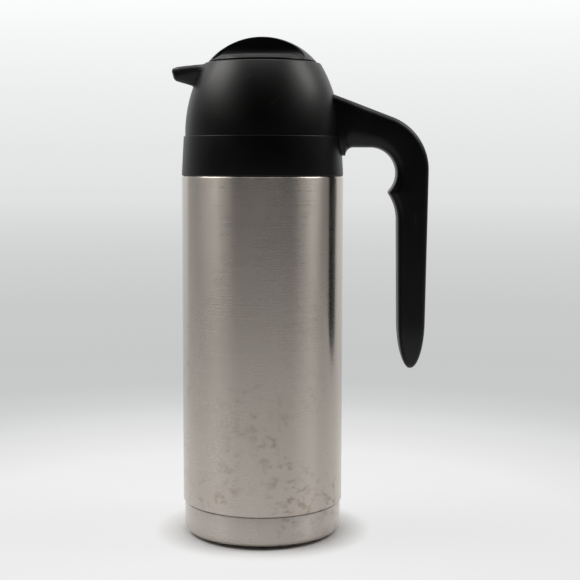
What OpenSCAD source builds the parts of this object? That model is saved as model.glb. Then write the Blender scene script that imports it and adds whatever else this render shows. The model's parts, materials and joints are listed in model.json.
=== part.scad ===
// Insulated serving carafe: a double-walled steel flask, a moulded pouring head with an
// open-ended handle, and a domed stopper lid that screws into the head.
// Sizes in mm. Z is the axis of the flask and the table is z = 0. The spout points to -X
// and the handle to +X.

/* [Flask] */
// Outside diameter of the steel body
body_d = 116; // [110:0.5:124]
// Height above the table where the steel ends and the collar starts
steel_top = 259.5; // [220:0.5:320]
// Thickness of the outer steel wall
shell_wall = 0.6; // [0.4:0.05:0.8]
// Thickness of the inner steel wall
liner_wall = 0.5; // [0.4:0.05:0.8]
// Width of the vacuum between the two walls
vacuum_gap = 3.9; // [2.5:0.1:5]
// Outside diameter of the steel neck
neck_d = 75; // [70:0.5:78]
// Width of the vacuum inside the neck
neck_gap = 0.9; // [0.6:0.1:1.5]
// Height of the mouth above the visible steel
mouth_rise = 40.5; // [38:0.5:44]
// Rounding of the steel shoulder under the collar
shoulder_r = 12; // [8:0.5:13]
// Thickness of the foil wrap round the liner
foil_t = 0.2; // [0.1:0.05:0.3]

/* [Base] */
// Visible height of the base ring
base_h = 23.3; // [18:0.1:30]
// How far the base ring stands in from the body
base_inset = 1.1; // [0.5:0.05:2]
// Width of the groove between the base ring and the body
groove_w = 0.9; // [0.6:0.1:2]
// Rounding of the bottom edge
base_corner_r = 4; // [2.5:0.1:5]
// Diameter of the pad under the base
pad_d = 92; // [70:1:98]
// Thickness of the pad
pad_t = 3; // [2.5:0.1:4]
// How far the pad stands out below the steel
pad_proud = 1.8; // [1:0.1:2.2]

/* [Collar] */
// Height of the black band above the steel
collar_h = 28; // [25:0.5:32]
// How far the band leans in at its top
collar_draft = 1.5; // [0.5:0.1:2]
// Wall of the band
collar_wall = 2.4; // [2:0.1:2.6]
// Width of the ledge between the band and the dome
ledge_w = 1.1; // [0.6:0.1:1.6]

/* [Pouring head] */
// Height of the dome above the collar
head_h = 51.7; // [49:0.5:54]
// Width of the dome's top outside the lid
lid_margin = 2.6; // [2:0.1:4]
// Wall of the dome
head_wall = 2.5; // [2:0.1:3]
// Rounding of the dome's top edge
head_edge_r = 1.5; // [1:0.1:2]
// Bore of the threaded socket
socket_d = 68.6; // [67.8:0.1:69]
// Wall of the socket
socket_wall = 2.5; // [2:0.1:2.8]
// Width of the seat that the stopper closes on
seat_w = 3.3; // [3:0.1:3.6]

/* [Spout] */
// How far the lip stands out past the body
spout_overhang = 6.7; // [4:0.1:12]
// Half width where the spout leaves the dome
spout_root_w = 14.5; // [12:0.5:17]
// Drop of the lip below the dome's top
spout_drop = 2; // [1:0.1:4]
// Height of the spout at its tip
spout_tip_h = 11; // [9.5:0.1:12.5]
// Height of the spout where its keel meets the dome
spout_root_h = 17.8; // [15:0.1:19.5]
// Wall of the spout
spout_wall = 2; // [1.6:0.1:2.4]

/* [Handle] */
// How far the grip's outer face stands out from the body
handle_reach = 61.1; // [56:0.1:72]
// Depth of the grip from the outer face to the inner face
grip_depth = 22.3; // [20:0.1:25]
// Width of the grip, seen from behind
grip_w = 23; // [20:0.5:26]
// Height of the grip's lower end above the table
grip_end_z = 119.3; // [90:0.5:150]
// Length of the grip's elliptical lower end
grip_end_l = 34; // [24:1:44]
// Inner radius of the bend
bend_r = 18.4; // [16:0.1:22]
// Height of the arm's root above the collar, inside the dome
arm_root_h = 32.4; // [28:0.1:36]
// Height of the arm's underside above the steel
arm_rise = 20.5; // [19:0.1:22]
// Half width of the arm at the dome
arm_root_w = 16.3; // [14:0.1:19]
// Depth of the hook below the bend that the forefinger bears on
finger_stop_drop = 15.6; // [12:0.1:17]
// Radius of the hollow below the finger stop
finger_hollow_r = 32; // [24:1:40]
// Rounding of the handle's edges
handle_edge_r = 4.5; // [3:0.1:6]
// Rounding under the arm where it meets the collar
arm_fillet_r = 6.2; // [4:0.1:8]
// Diameter of the handle screws
screw_d = 3.2; // [2.5:0.1:4]

/* [Lid] */
// How far the lid's rim stands out past the socket's bore
lid_overlap = 4.5; // [3:0.1:6]
// Height of the lid's crown above its rim
lid_crown = 18; // [16:0.1:20]
// Gap under the rim when the lid is closed
lid_gap = 0.8; // [0.4:0.1:1.2]
// Wall of the lid cap
lid_wall = 2.2; // [1.8:0.1:2.4]
// Angle between the fin and the spout when the lid is closed
lid_park_angle = -10; // [-30:1:30]
// Thickness of the fin between the finger scoops
fin_t = 16; // [13:0.5:20]
// Length of a finger scoop
scoop_l = 64.6; // [50:0.2:66]
// Height of the lip under a finger scoop
scoop_lip = 3.4; // [3:0.1:5]
// Depth of a finger scoop below its lip
scoop_depth = 3; // [2:0.1:3.4]
// Radius of the hollow in a finger scoop
scoop_r = 10; // [7:0.5:12]

/* [Stopper] */
// Gap between the stopper and the socket's bore
stopper_gap = 2; // [1.9:0.05:2.1]
// Wall of the stopper
stopper_wall = 2.2; // [2:0.1:2.6]
// Rise of the lid in one turn
thread_lead = 15; // [12:0.5:18]
// Number of thread starts
thread_starts = 3; // [3:1:3]
// Height of a thread ridge above its wall
ridge_h = 1.6; // [1.3:0.1:1.7]
// Width of a thread ridge at its crest
ridge_w = 1.6; // [1:0.1:1.8]
// Thickness of the seals
seal_t = 2.2; // [1.8:0.1:2.6]

/* [Hidden] */
$fn = 96;
hull_fn = 24;
void_fn = 16;
saddle_fn = 192;
fit = 0.05;
slack = 0.1;
eps = 0.01;

body_r = body_d / 2;
shell_bottom = base_h + groove_w;
shell_corner = 1.2;
shell_lip = 0.7;
spigot_inset = 3.4;
spigot_r = body_r - spigot_inset;
spigot_h = 6.5;
shoulder_z = steel_top + spigot_h;
shoulder_top = shoulder_z + shoulder_r;
neck_r = neck_d / 2;
mouth_z = steel_top + mouth_rise;
lip_t = 0.6;

plate_t = 1;
plate_rise = 3.6;
plate_flange_r = body_r - shell_wall - fit;
plate_z = shell_bottom + plate_rise;
plate_dish = 1.6;
plate_rim_w = 8;
plate_recess_r = plate_flange_r - plate_rim_w;
dimple_r = 5;
hole_r = 1;
bead_r = 2.6;
bead_t = 0.9;
getter_r = 6;
getter_h = 2.4;
getter_x = 26;

liner_r = body_r - shell_wall - vacuum_gap;
liner_neck_r = neck_r - shell_wall - neck_gap;
liner_drop = 5.5;
liner_shoulder_r = 14;
liner_shoulder_z = steel_top - liner_drop;
liner_corner = 12;
liner_lift = 5.2;
liner_bottom = plate_z + plate_t + liner_lift;

base_r = body_r - base_inset;
base_wall = 0.6;
spigot_base_r = plate_flange_r - plate_t - fit;
pad_r = pad_d / 2;
pad_gap = 1;
pad_seat_z = pad_t + fit;

collar_top = steel_top + collar_h;
collar_r = body_r - collar_draft;
collar_corner = 1;
collar_edge = 0.4;
collar_bore_r = spigot_r + slack;
web_t = 2.5;
web_z = shoulder_top + slack;
web_gap = 0.5;
web_bore_r = neck_r + web_gap;
rib_count = 12;
rib_t = 1.6;

nut_wall = 6;
nut_r = neck_r + nut_wall;
nut_z = web_z + web_t + fit;
nut_h = 6.5;
nut_slots = 6;
slot_w = 6;
slot_d = 2.5;

socket_r = socket_d / 2;
socket_out_r = socket_r + socket_wall;
seat_r = socket_r - seat_w;
seat_t = 2.15;
gasket_t = 1.4;
gasket_w = 3.1;
socket_bottom = mouth_z + gasket_t + fit;
seat_z = socket_bottom + seat_t;
skirt_gap = 1.1;
skirt_r = neck_r + skirt_gap;
skirt_t = 2.2;
skirt_h = 4.5;
lid_r = socket_r + lid_overlap;

head_foot_r = collar_r - ledge_w;
head_foot_h = 1.5;
head_top = collar_top + head_h;
head_top_r = lid_r + lid_margin;
head_plate_t = 2.7;
arc_z = collar_top + head_foot_h;
head_rise = head_top - arc_z;
head_lean = head_foot_r - head_top_r;
head_arc_r = (head_rise * head_rise + head_lean * head_lean) / (2 * head_lean);
arc_x = head_foot_r - head_arc_r;
edge_z = head_top - head_edge_r;
edge_x = arc_x + sqrt(pow(head_arc_r - head_edge_r, 2) - pow(edge_z - arc_z, 2));
edge_tangent_z = arc_z + (edge_z - arc_z) * head_arc_r / (head_arc_r - head_edge_r);
head_spigot_gap = 0.4;
head_spigot_r = collar_r - collar_wall - head_spigot_gap;
head_spigot_t = 2.4;
head_spigot_clear = 1.4;
head_spigot_h = collar_top - web_z - web_t - head_spigot_clear;

spout_reach = body_r + spout_overhang;
spout_top = head_top - spout_drop;
spout_tip_r = 3.6;
spout_keel_r = 4.2;
spout_side_r = 2;
spout_side_drop = 1;
spout_undercut = 1.5;
spout_root_inset = 5.4;
spout_root_x = head_top_r - spout_root_inset;
spout_keel_step = 1.6;
spout_keel_x = head_top_r + spout_keel_step;
spout_keel_z = head_top - spout_root_h + spout_keel_r;
trough_floor_z = spout_keel_z + spout_wall;
trough_inset = 0.4;
trough_roof_r = head_top_r - trough_inset;
trough_side_r = 1.4;
lip_r = 2.2;
lip_cut = 0.5;
lip_drop = 1;
tunnel_drop = 5.6;
tunnel_roof_z = head_top - tunnel_drop;
tunnel_corner_r = 1.5;
tunnel_inset = 5.5;
tunnel_reach = 2;

lid_rim_z = head_top + lid_gap;
lid_sphere_r = (lid_r * lid_r + lid_crown * lid_crown) / (2 * lid_crown);
lid_sphere_z = lid_rim_z + lid_crown - lid_sphere_r;
scoop_corner = 8;
scoop_floor = lid_rim_z + scoop_lip;
plug_ring_t = 1.8;
plug_ring_h = 8;

stopper_r = socket_r - stopper_gap;
stopper_bore = stopper_r - stopper_wall;
flange_inset = 3.6;
flange_r = lid_r - flange_inset;
flange_z = head_top + slack;
flange_top = scoop_floor - lid_wall - slack;
stopper_bottom = seat_z + seal_t + slack;
end_gap = 0.8;
end_flange_r = seat_r - end_gap;
end_flange_t = 1.8;
seal_w = 4.5;
end_boss_r = stopper_r - seal_w;
seal_ring_r = 1.3;
seal_groove_d = 0.9;
seal_groove_r = stopper_r - seal_groove_d;
seal_drop = 3;
seal_z = head_top - seal_drop;

ridge_pitch = thread_lead / thread_starts;
ridge_flank = 0.35;
ridge_root = 0.5;
ridge_step = 7.5;
ridge_relief = 0.3;
male_sweep = 300;
female_sweep = 75;
male_crest_r = stopper_r + ridge_h;
female_crest_r = socket_r - ridge_h + ridge_relief;
thread_rise = 5.5;
female_mid_z = stopper_bottom + thread_rise + ridge_pitch * 2;

grip_reach = body_r + handle_reach;
bend_shift = 0.5;
bend_x = grip_reach - grip_depth - bend_r - bend_shift;
bend_z = steel_top + arm_rise - bend_r;
bend_out_shift = [0.8, 2];
bend_out_x = bend_x + bend_out_shift.x;
bend_out_z = bend_z + bend_out_shift.y;
bend_out_r = grip_reach - bend_out_x;
grip_taper = 0.014;
grip_bevel = [6, 5];
arm_bevel = [14, 9];
stop_blend = 0.9;
stop_soft = 2.4;
stop_z = bend_z - finger_stop_drop;
hollow_drop = 17.4;
hollow_z = stop_z - hollow_drop;
arm_sink = 15;
arm_start_x = body_r - arm_sink;
arm_root_rise = collar_top + arm_root_h - bend_out_z;
arm_slope = acos(bend_out_r / norm([arm_root_rise, bend_out_x - arm_start_x]))
    - atan2(bend_out_x - arm_start_x, arm_root_rise);
arm_normal = [sin(arm_slope), cos(arm_slope)];
arm_tangent = bend_out_shift + bend_out_r * arm_normal;
fillet_reach = 8.7;
arm_fillet_x = collar_r + fillet_reach;
screw_rise_low = 2.5;
screw_rise_high = 12.5;
screw_z_low = collar_top - head_spigot_h + screw_rise_low;
screw_z_high = collar_top + screw_rise_high;
screw_head_r = 3.4;
screw_head_t = 2.2;
screw_l = 15;
screw_clear = 0.4;
cross_l = 4.8;
cross_w = 0.8;

black = [0.06, 0.06, 0.06];
steel = [0.72, 0.69, 0.66];
rubber = [0.15, 0.15, 0.15];

// Ring profile from radius a to radius b and from height c to height d
module band(a, b, c, d) {
    translate([a, c]) square([b - a, d - c]);
}

// Filled half profile of the flask's outer wall, drawn inset by t
module shell_outline(t, bottom) {
    band(0, body_r - t, bottom, steel_top - shell_corner);
    band(0, body_r - shell_corner, bottom, steel_top - t);
    translate([body_r - shell_corner, steel_top - shell_corner]) circle(shell_corner - t);
    band(0, spigot_r - t, bottom, shoulder_z);
    intersection() {
        translate([spigot_r - shoulder_r, shoulder_z]) circle(shoulder_r - t);
        band(0, body_r, shoulder_z - shoulder_r, shoulder_top);
    }
    band(0, spigot_r - shoulder_r, bottom, shoulder_top - t);
    band(0, neck_r - t, bottom, mouth_z - lip_t);
}

// Wall of the flask's outer bottle in profile, open at the bottom and the mouth
module shell_profile() {
    difference() {
        shell_outline(0, shell_bottom);
        shell_outline(shell_wall, shell_bottom + shell_wall);
        band(0, body_r - shell_wall - shell_lip, shell_bottom - 1, shell_bottom + 1);
        band(0, neck_r - shell_wall, shoulder_top - 1, mouth_z);
    }
}

// Visible steel body, up to the flat top that the collar stands on
module outer_shell() {
    color(steel) rotate_extrude() intersection() {
        shell_profile();
        band(0, body_r + 1, 0, steel_top);
    }
}

// Spigot, shoulder and neck of the outer bottle, welded to the top of the body
module shell_neck() {
    color(steel) rotate_extrude() intersection() {
        shell_profile();
        band(0, body_r + 1, steel_top, mouth_z);
    }
}

// Filled half profile of the liner, drawn inset by t
module liner_outline(t) {
    floor_z = liner_bottom + t;
    intersection() {
        translate([liner_r - liner_corner, liner_bottom + liner_corner]) circle(liner_corner - t);
        band(0, liner_r, floor_z, liner_shoulder_z);
    }
    band(0, liner_r - liner_corner, floor_z, liner_shoulder_z);
    band(0, liner_r - t, liner_bottom + liner_corner, liner_shoulder_z);
    intersection() {
        translate([liner_r - liner_shoulder_r, liner_shoulder_z]) circle(liner_shoulder_r - t);
        band(0, liner_r, liner_bottom + liner_corner, liner_shoulder_z + liner_shoulder_r);
    }
    band(0, liner_r - liner_shoulder_r, floor_z, liner_shoulder_z + liner_shoulder_r - t);
    band(0, liner_neck_r - t, floor_z, mouth_z - lip_t);
}

// Wall of the liner in profile, open at the mouth
module liner_profile() {
    difference() {
        liner_outline(0);
        liner_outline(liner_wall);
        band(0, liner_neck_r - liner_wall, liner_shoulder_z, mouth_z);
    }
}

module inner_liner() {
    color(steel) rotate_extrude() intersection() {
        liner_profile();
        band(0, liner_r + 1, 0, liner_shoulder_z);
    }
}

// Shoulder and neck of the liner, with the lip that closes the vacuum at the mouth
module liner_neck() {
    color(steel) rotate_extrude() {
        intersection() {
            liner_profile();
            band(0, liner_r + 1, liner_shoulder_z, mouth_z);
        }
        band(liner_neck_r - liner_wall, neck_r, mouth_z - lip_t, mouth_z);
    }
}

module radiation_foil() {
    foil_r = liner_r + fit;
    color("goldenrod") rotate_extrude()
        band(foil_r, foil_r + foil_t, liner_bottom + liner_corner, liner_shoulder_z);
}

// Pressed plate with a flange that stands in the shell, and a pumping dimple in its middle
module vacuum_base() {
    color(steel) rotate_extrude() difference() {
        union() {
            band(plate_flange_r - plate_t, plate_flange_r, shell_bottom + shell_wall, plate_z + plate_t);
            band(plate_recess_r, plate_flange_r, plate_z, plate_z + plate_t);
            band(plate_recess_r - plate_t, plate_recess_r, plate_z - plate_dish, plate_z + plate_t);
            band(hole_r, plate_recess_r, plate_z - plate_dish, plate_z - plate_dish + plate_t);
            band(dimple_r - plate_t, dimple_r, plate_z - plate_dish, plate_z + plate_t);
            band(hole_r, dimple_r, plate_z, plate_z + plate_t);
        }
        band(0, dimple_r - plate_t, plate_z - plate_dish - 1, plate_z);
    }
}

module getter_capsule() {
    base_z = plate_z - plate_dish + plate_t;
    color("dimgray") translate([getter_x, 0, base_z]) rotate_extrude() difference() {
        band(0, getter_r, 0, getter_h);
        band(0, getter_r - 1.2, getter_h - 0.8, getter_h + 1);
    }
}

// Bead of solder that fills the pumping hole from below
module seal_bead() {
    color("gray") rotate_extrude() {
        band(0, hole_r, plate_z - eps, plate_z + plate_t);
        band(0, bead_r, plate_z - bead_t, plate_z);
    }
}

// Pressed steel cup: visible ring, rounded bottom edge, raised seat for the pad and a
// spigot that stands inside the flange of the vacuum plate
module base_cup() {
    inner_r = base_r - base_wall;
    low_z = pad_proud;
    top_z = base_h;
    spigot_top = plate_z - 0.3;
    color(steel) rotate_extrude() {
        difference() {
            union() {
                band(0, base_r, low_z + base_corner_r, top_z - base_wall);
                band(0, base_r - base_wall, low_z + base_corner_r, top_z);
                translate([base_r - base_wall, top_z - base_wall]) circle(base_wall);
                band(0, base_r - base_corner_r, low_z, low_z + base_corner_r);
                translate([base_r - base_corner_r, low_z + base_corner_r]) circle(base_corner_r);
            }
            band(0, inner_r, low_z + base_corner_r, top_z - base_wall);
            band(0, base_r - base_corner_r, low_z + base_wall, low_z + base_corner_r + eps);
            translate([base_r - base_corner_r, low_z + base_corner_r])
                circle(base_corner_r - base_wall);
            band(0, spigot_base_r - base_wall, low_z + base_corner_r, top_z + 1);
            band(0, pad_r + pad_gap, low_z - 1, pad_seat_z);
        }
        band(0, pad_r + pad_gap, pad_seat_z, pad_seat_z + base_wall);
        band(pad_r + pad_gap, pad_r + pad_gap + base_wall, low_z, pad_seat_z + base_wall);
        band(spigot_base_r - base_wall, spigot_base_r, top_z - base_wall, spigot_top);
    }
}

module base_pad() {
    groove = 0.5;
    color(rubber) rotate_extrude() difference() {
        band(0, pad_r, 0, pad_t);
        for (r = [pad_r - 4 : -6 : pad_r - 16]) band(r - 1.2, r, -1, groove);
    }
}

// Side of the collar in profile, between its two rounded edges
module collar_taper() {
    polygon([[0, steel_top + collar_corner], [body_r, steel_top + collar_corner],
             [collar_r, collar_top - collar_edge], [0, collar_top - collar_edge]]);
}

// Clearance hole for a handle screw through the head and the collar
module screw_hole(z) {
    translate([head_spigot_r - 3 * head_spigot_t, 0, z]) rotate([0, 90, 0])
        cylinder(h = 2 * screw_l, r = screw_d / 2 + screw_clear);
}

// Tapered band with a web that sits on the steel shoulder, stiffened by ribs
module collar() {
    color(black) difference() {
        union() {
            rotate_extrude() {
                difference() {
                    union() {
                        collar_taper();
                        band(0, body_r - collar_corner, steel_top, steel_top + collar_corner);
                        translate([body_r - collar_corner, steel_top + collar_corner])
                            circle(collar_corner);
                        translate([collar_r - collar_edge, collar_top - collar_edge])
                            circle(collar_edge);
                        band(0, collar_r - collar_edge, collar_top - collar_edge, collar_top);
                    }
                    band(0, collar_bore_r, steel_top - 1, web_z + eps);
                    band(0, collar_r - collar_wall, web_z, collar_top + 1);
                }
                band(web_bore_r, collar_r - collar_wall + eps, web_z, web_z + web_t);
            }
            intersection() {
                for (i = [0 : rib_count - 1]) rotate(i * 360 / rib_count + 15)
                    translate([0, -rib_t / 2, shoulder_z]) cube([body_r, rib_t, web_z - shoulder_z + 1]);
                rotate_extrude() difference() {
                    band(spigot_r - shoulder_r / 2, collar_bore_r + 1, shoulder_z, web_z + 1);
                    translate([spigot_r - shoulder_r, shoulder_z]) circle(shoulder_r + slack);
                    band(0, spigot_r + slack, shoulder_z - 1, shoulder_z + eps);
                }
            }
        }
        screw_hole(screw_z_low);
    }
}

// Ring nut with spanner slots, which holds the collar on the shoulder
module lock_ring() {
    color("dimgray") difference() {
        rotate_extrude() band(neck_r + fit, nut_r, nut_z, nut_z + nut_h);
        for (i = [0 : nut_slots - 1]) rotate(i * 360 / nut_slots)
            translate([nut_r - nut_wall / 3, -slot_w / 2, nut_z + nut_h - slot_d])
                cube([nut_wall, slot_w, 2 * slot_d]);
    }
}

module neck_gasket() {
    color(rubber) rotate_extrude()
        band(neck_r - gasket_w, skirt_r - fit, mouth_z, mouth_z + gasket_t);
}

// Filled half profile of the dome
module head_outline() {
    band(0, head_foot_r, collar_top, arc_z);
    intersection() {
        translate([arc_x, arc_z]) circle(head_arc_r, $fn = 240);
        band(0, head_foot_r + 1, collar_top, edge_tangent_z);
    }
    translate([edge_x, edge_z]) circle(head_edge_r);
    band(0, edge_x, collar_top, head_top);
}

// Half profile of the hollow between the dome and the socket
module head_hollow() {
    intersection() {
        translate([arc_x, arc_z]) circle(head_arc_r - head_wall, $fn = 240);
        band(0, head_foot_r, collar_top - 1, head_top - head_plate_t);
    }
}

// Helical ridge that starts at angle from, runs for sweep degrees about height mid_z and
// fades out at both ends. It stands on radius root_r and ends at radius crest_r.
module ridge(root_r, crest_r, from, sweep, mid_z) {
    steps = round(sweep / ridge_step);
    function fade(i) = min(1, min(i, steps - i) / 2);
    function ring(i) =
        let(a = from + sweep * i / steps,
            z = mid_z + thread_lead * sweep / 360 * (i / steps - 0.5),
            c = root_r + (crest_r - root_r) * (0.3 + 0.7 * fade(i)),
            w = ridge_w / 2,
            f = w + ridge_flank)
        [[root_r, z - f], [c, z - w], [c, z + w], [root_r, z + f]];
    function angle_at(i) = from + sweep * i / steps;
    points = [for (i = [0 : steps]) for (p = ring(i))
        [p[0] * cos(angle_at(i)), p[0] * sin(angle_at(i)), p[1]]];
    outward = crest_r > root_r;
    sides = [for (i = [0 : steps - 1]) for (k = [0 : 3])
        let(a = 4 * i + k, b = 4 * i + (k + 1) % 4) each [[a, b, b + 4], [a, b + 4, a + 4]]];
    caps = [[3, 2, 1], [3, 1, 0],
            [4 * steps, 4 * steps + 1, 4 * steps + 2], [4 * steps, 4 * steps + 2, 4 * steps + 3]];
    faces = concat(sides, caps);
    polyhedron(points, outward ? faces : [for (f = faces) [f[2], f[1], f[0]]], convexity = 4);
}

// Outer form of the spout: a keel that rises to the tip under two flared sides
module spout_form() {
    tip_x = -(spout_reach - spout_tip_r);
    hull() {
        translate([tip_x, 0, spout_top - spout_tip_r]) sphere(spout_tip_r, $fn = hull_fn);
        translate([tip_x + spout_undercut, 0, spout_top - spout_tip_h + spout_keel_r])
            sphere(spout_keel_r, $fn = hull_fn);
        for (x = [-spout_keel_x, -socket_r - 1])
            translate([x, 0, spout_keel_z]) sphere(spout_keel_r, $fn = hull_fn);
        for (s = [-1, 1])
            translate([-spout_root_x, s * (spout_root_w - spout_side_r), spout_top - spout_side_drop])
                sphere(spout_side_r, $fn = hull_fn);
    }
}

// Round-bottomed well, open upward
module well(x, y, z, r) {
    translate([x, y, z]) {
        sphere(r, $fn = void_fn);
        cylinder(r = r, h = spout_root_h, $fn = void_fn);
    }
}

// Open trough that runs from the dome's top edge to the lip
module spout_trough() {
    side_y = spout_root_w - spout_side_r - spout_wall;
    difference() {
        hull() {
            well(-(spout_reach - spout_tip_r + lip_cut), 0, spout_top - lip_drop, lip_r);
            well(-spout_keel_x + 2 * spout_wall, 0, trough_floor_z, spout_keel_r);
            for (s = [-1, 1])
                well(-spout_root_x, s * side_y, spout_top - spout_side_r, trough_side_r);
        }
        translate([0, 0, collar_top]) cylinder(r = trough_roof_r, h = 2 * head_h);
    }
}

// Covered channel from the socket to the trough, under the dome's top plate
module spout_tunnel() {
    start_x = trough_roof_r + tunnel_reach;
    translate([-start_x, 0, 0]) rotate([90, 0, 90])
        linear_extrude(start_x - socket_r + socket_wall) hull() {
            for (s = [-1, 1])
                translate([s * (spout_root_w - tunnel_inset), tunnel_roof_z - tunnel_corner_r])
                    circle(tunnel_corner_r, $fn = void_fn);
            translate([0, trough_floor_z + spout_wall / 2])
                circle(spout_keel_r - ridge_root, $fn = void_fn);
        }
}

module pouring_head() {
    color(black) difference() {
        union() {
            rotate_extrude() {
                difference() {
                    head_outline();
                    head_hollow();
                }
                band(head_spigot_r - head_spigot_t, head_spigot_r,
                     collar_top - head_spigot_h, collar_top + head_wall);
                band(socket_r - eps, socket_out_r, socket_bottom, head_top - 1);
                band(seat_r, skirt_r + skirt_t, socket_bottom, seat_z);
                band(skirt_r, skirt_r + skirt_t, socket_bottom - skirt_h, seat_z);
            }
            spout_form();
        }
        translate([0, 0, seat_z]) cylinder(r = socket_r, h = head_h);
        spout_trough();
        spout_tunnel();
        screw_hole(screw_z_low);
        screw_hole(screw_z_high);
    }
    color(black) for (i = [0 : thread_starts - 1])
        ridge(socket_r + ridge_root, female_crest_r,
              i * 360 / thread_starts - female_sweep / 2, female_sweep, female_mid_z);
}

function clamp01(t) = min(1, max(0, t));
function ease(t) = let(s = clamp01(t)) s * s * (3 - 2 * s);
function blend_max(a, b, k) = k * ln(exp((a - b) / k) + 1) + b;

// Inner and outer edge of the grip at height z, below the bend
function grip_swell(z) = let(t = clamp01((z - grip_end_z) / grip_end_l)) sqrt(1 - (1 - t) * (1 - t));
function grip_out_x(z) = grip_reach - grip_taper * (bend_z - z);
function grip_in_line(z) = grip_reach - grip_depth + grip_taper * (stop_z - z);
function bend_edge(z) = bend_x + sqrt(max(0, bend_r * bend_r - pow(z - bend_z, 2)));
function hollow_edge(z) = grip_in_line(z) - finger_hollow_r
    + sqrt(max(0, finger_hollow_r * finger_hollow_r - pow(max(0, z - hollow_z), 2)));
function grip_in_x(z) = z < hollow_z ? grip_in_line(z)
    : blend_max(bend_edge(z), hollow_edge(z), stop_blend);

// A section holds its inner point, its outer point, its half width and its inner bevel
function grip_section(z) =
    let(e = grip_swell(z), mid = (grip_out_x(z) + grip_in_x(z)) / 2,
        half = (grip_out_x(z) - grip_in_x(z)) / 2)
    [[mid - half * e, z], [mid + half * e, z], grip_w / 2 * e, grip_bevel * e, handle_edge_r * e];
function arc_reach(d) = bend_out_shift * d + sqrt(pow(bend_out_r, 2) - pow(cross(bend_out_shift, d), 2));
function line_reach(d) = (bend_out_r + bend_out_shift * arm_normal) / (d * arm_normal);
function bend_section(phi) =
    let(d = [cos(phi), sin(phi)], w = arm_width(bend_x + bend_r * cos(phi)),
        reach = phi > atan2(arm_tangent.y, arm_tangent.x) ? line_reach(d) : arc_reach(d))
    [[bend_x, bend_z] + bend_r * d, [bend_x, bend_z] + reach * d, w, bevel_at(w), handle_edge_r];
function arm_width(x) = grip_w / 2 + (arm_root_w - grip_w / 2)
    * ease((grip_reach - grip_depth - x) / (grip_reach - grip_depth - collar_r));
function bevel_at(w) = let(t = (w - grip_w / 2) / (arm_root_w - grip_w / 2))
    grip_bevel + (arm_bevel - grip_bevel) * t;
function arm_top(x) = bend_out_z + (bend_out_r + (bend_out_x - x) * arm_normal.x) / arm_normal.y;
function arm_under(x) = bend_z + bend_r - (x > arm_fillet_x - eps ? 0
    : arm_fillet_r - sqrt(max(0, pow(arm_fillet_r, 2) - pow(min(arm_fillet_r, arm_fillet_x - x), 2))));
function arm_section(x) =
    [[x, arm_under(x)], [x, arm_top(x)], arm_width(x), bevel_at(arm_width(x)), handle_edge_r];

handle_sections = concat(
    [for (a = [4 : 8 : 84]) grip_section(grip_end_z + grip_end_l * (1 - cos(a)))],
    [for (z = [grip_end_z + grip_end_l : (hollow_z - grip_end_z - grip_end_l) / 4 : hollow_z - 1])
        grip_section(z)],
    [for (i = [0 : 7]) grip_section(hollow_z + (stop_z - stop_soft - hollow_z) * i / 8)],
    [for (i = [-5 : 2 : 5]) grip_section(stop_z + stop_soft * i / 6)],
    [for (i = [1 : 5]) grip_section(stop_z + stop_soft + (bend_z - stop_z - stop_soft) * i / 6)],
    [for (a = [0 : 7.5 : 90]) bend_section(a)],
    [for (i = [1 : 3]) arm_section(bend_x + (arm_fillet_x - bend_x) * i / 3)],
    [for (a = [15 : 15 : 90]) arm_section(arm_fillet_x - arm_fillet_r * sin(a))],
    [arm_section(arm_start_x)]);

// Points round one section: a rectangle with round outer and elliptical inner corners
corner_steps = 4;
function section_ring(s) =
    let(inner = s[0], span = s[1] - s[0], h = norm(span), n = span / h, w = s[2],
        bev = [min(s[3][0], h * 0.45), min(s[3][1], w * 0.9)], edge = min(s[4], h * 0.45, w * 0.9),
        corners = [
            for (k = [0 : corner_steps]) let(a = 90 * k / corner_steps)
                [h - edge + edge * cos(a), w - edge + edge * sin(a)],
            for (k = [0 : corner_steps]) let(a = 90 * k / corner_steps)
                [bev[0] - bev[0] * sin(a), w - bev[1] + bev[1] * cos(a)]],
        far_side = [for (i = [len(corners) - 1 : -1 : 0]) [corners[i][0], -corners[i][1]]])
    [for (c = concat(corners, far_side)) [inner[0] + n[0] * c[0], c[1], inner[1] + n[1] * c[0]]];

module loft(sections) {
    rings = [for (s = sections) section_ring(s)];
    m = len(rings[0]);
    last = m * (len(rings) - 1);
    polyhedron(
        points = [for (r = rings) each r],
        faces = concat(
            [[for (k = [0 : m - 1]) k]],
            [for (i = [0 : len(rings) - 2]) for (k = [0 : m - 1])
                let(a = i * m + k, b = i * m + (k + 1) % m) each [[a, a + m, b + m], [a, b + m, b]]],
            [[for (k = [m - 1 : -1 : 0]) last + k]]),
        convexity = 6);
}

// Solid form of the head and collar that the arm is moulded against
module saddle_form() {
    rotate_extrude($fn = saddle_fn) {
        head_outline();
        collar_taper();
        band(0, collar_r, collar_top - collar_edge - eps, collar_top);
    }
}

module handle() {
    color(black) difference() {
        loft(handle_sections);
        saddle_form();
        for (z = [screw_z_low, screw_z_high]) translate([arm_start_x, 0, z]) rotate([0, 90, 0])
            cylinder(h = arm_sink + screw_l - collar_draft, r = screw_d / 2 + fit);
    }
}

module handle_screw(head_x, z) {
    translate([head_x, 0, z]) rotate([0, 90, 0]) {
        difference() {
            cylinder(h = screw_head_t, r = screw_head_r);
            for (a = [0, 90]) rotate(a) translate([-cross_l / 2, -cross_w / 2, -1])
                cube([cross_l, cross_w, 2]);
        }
        cylinder(h = screw_head_t + screw_l, r = screw_d / 2);
    }
}

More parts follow.
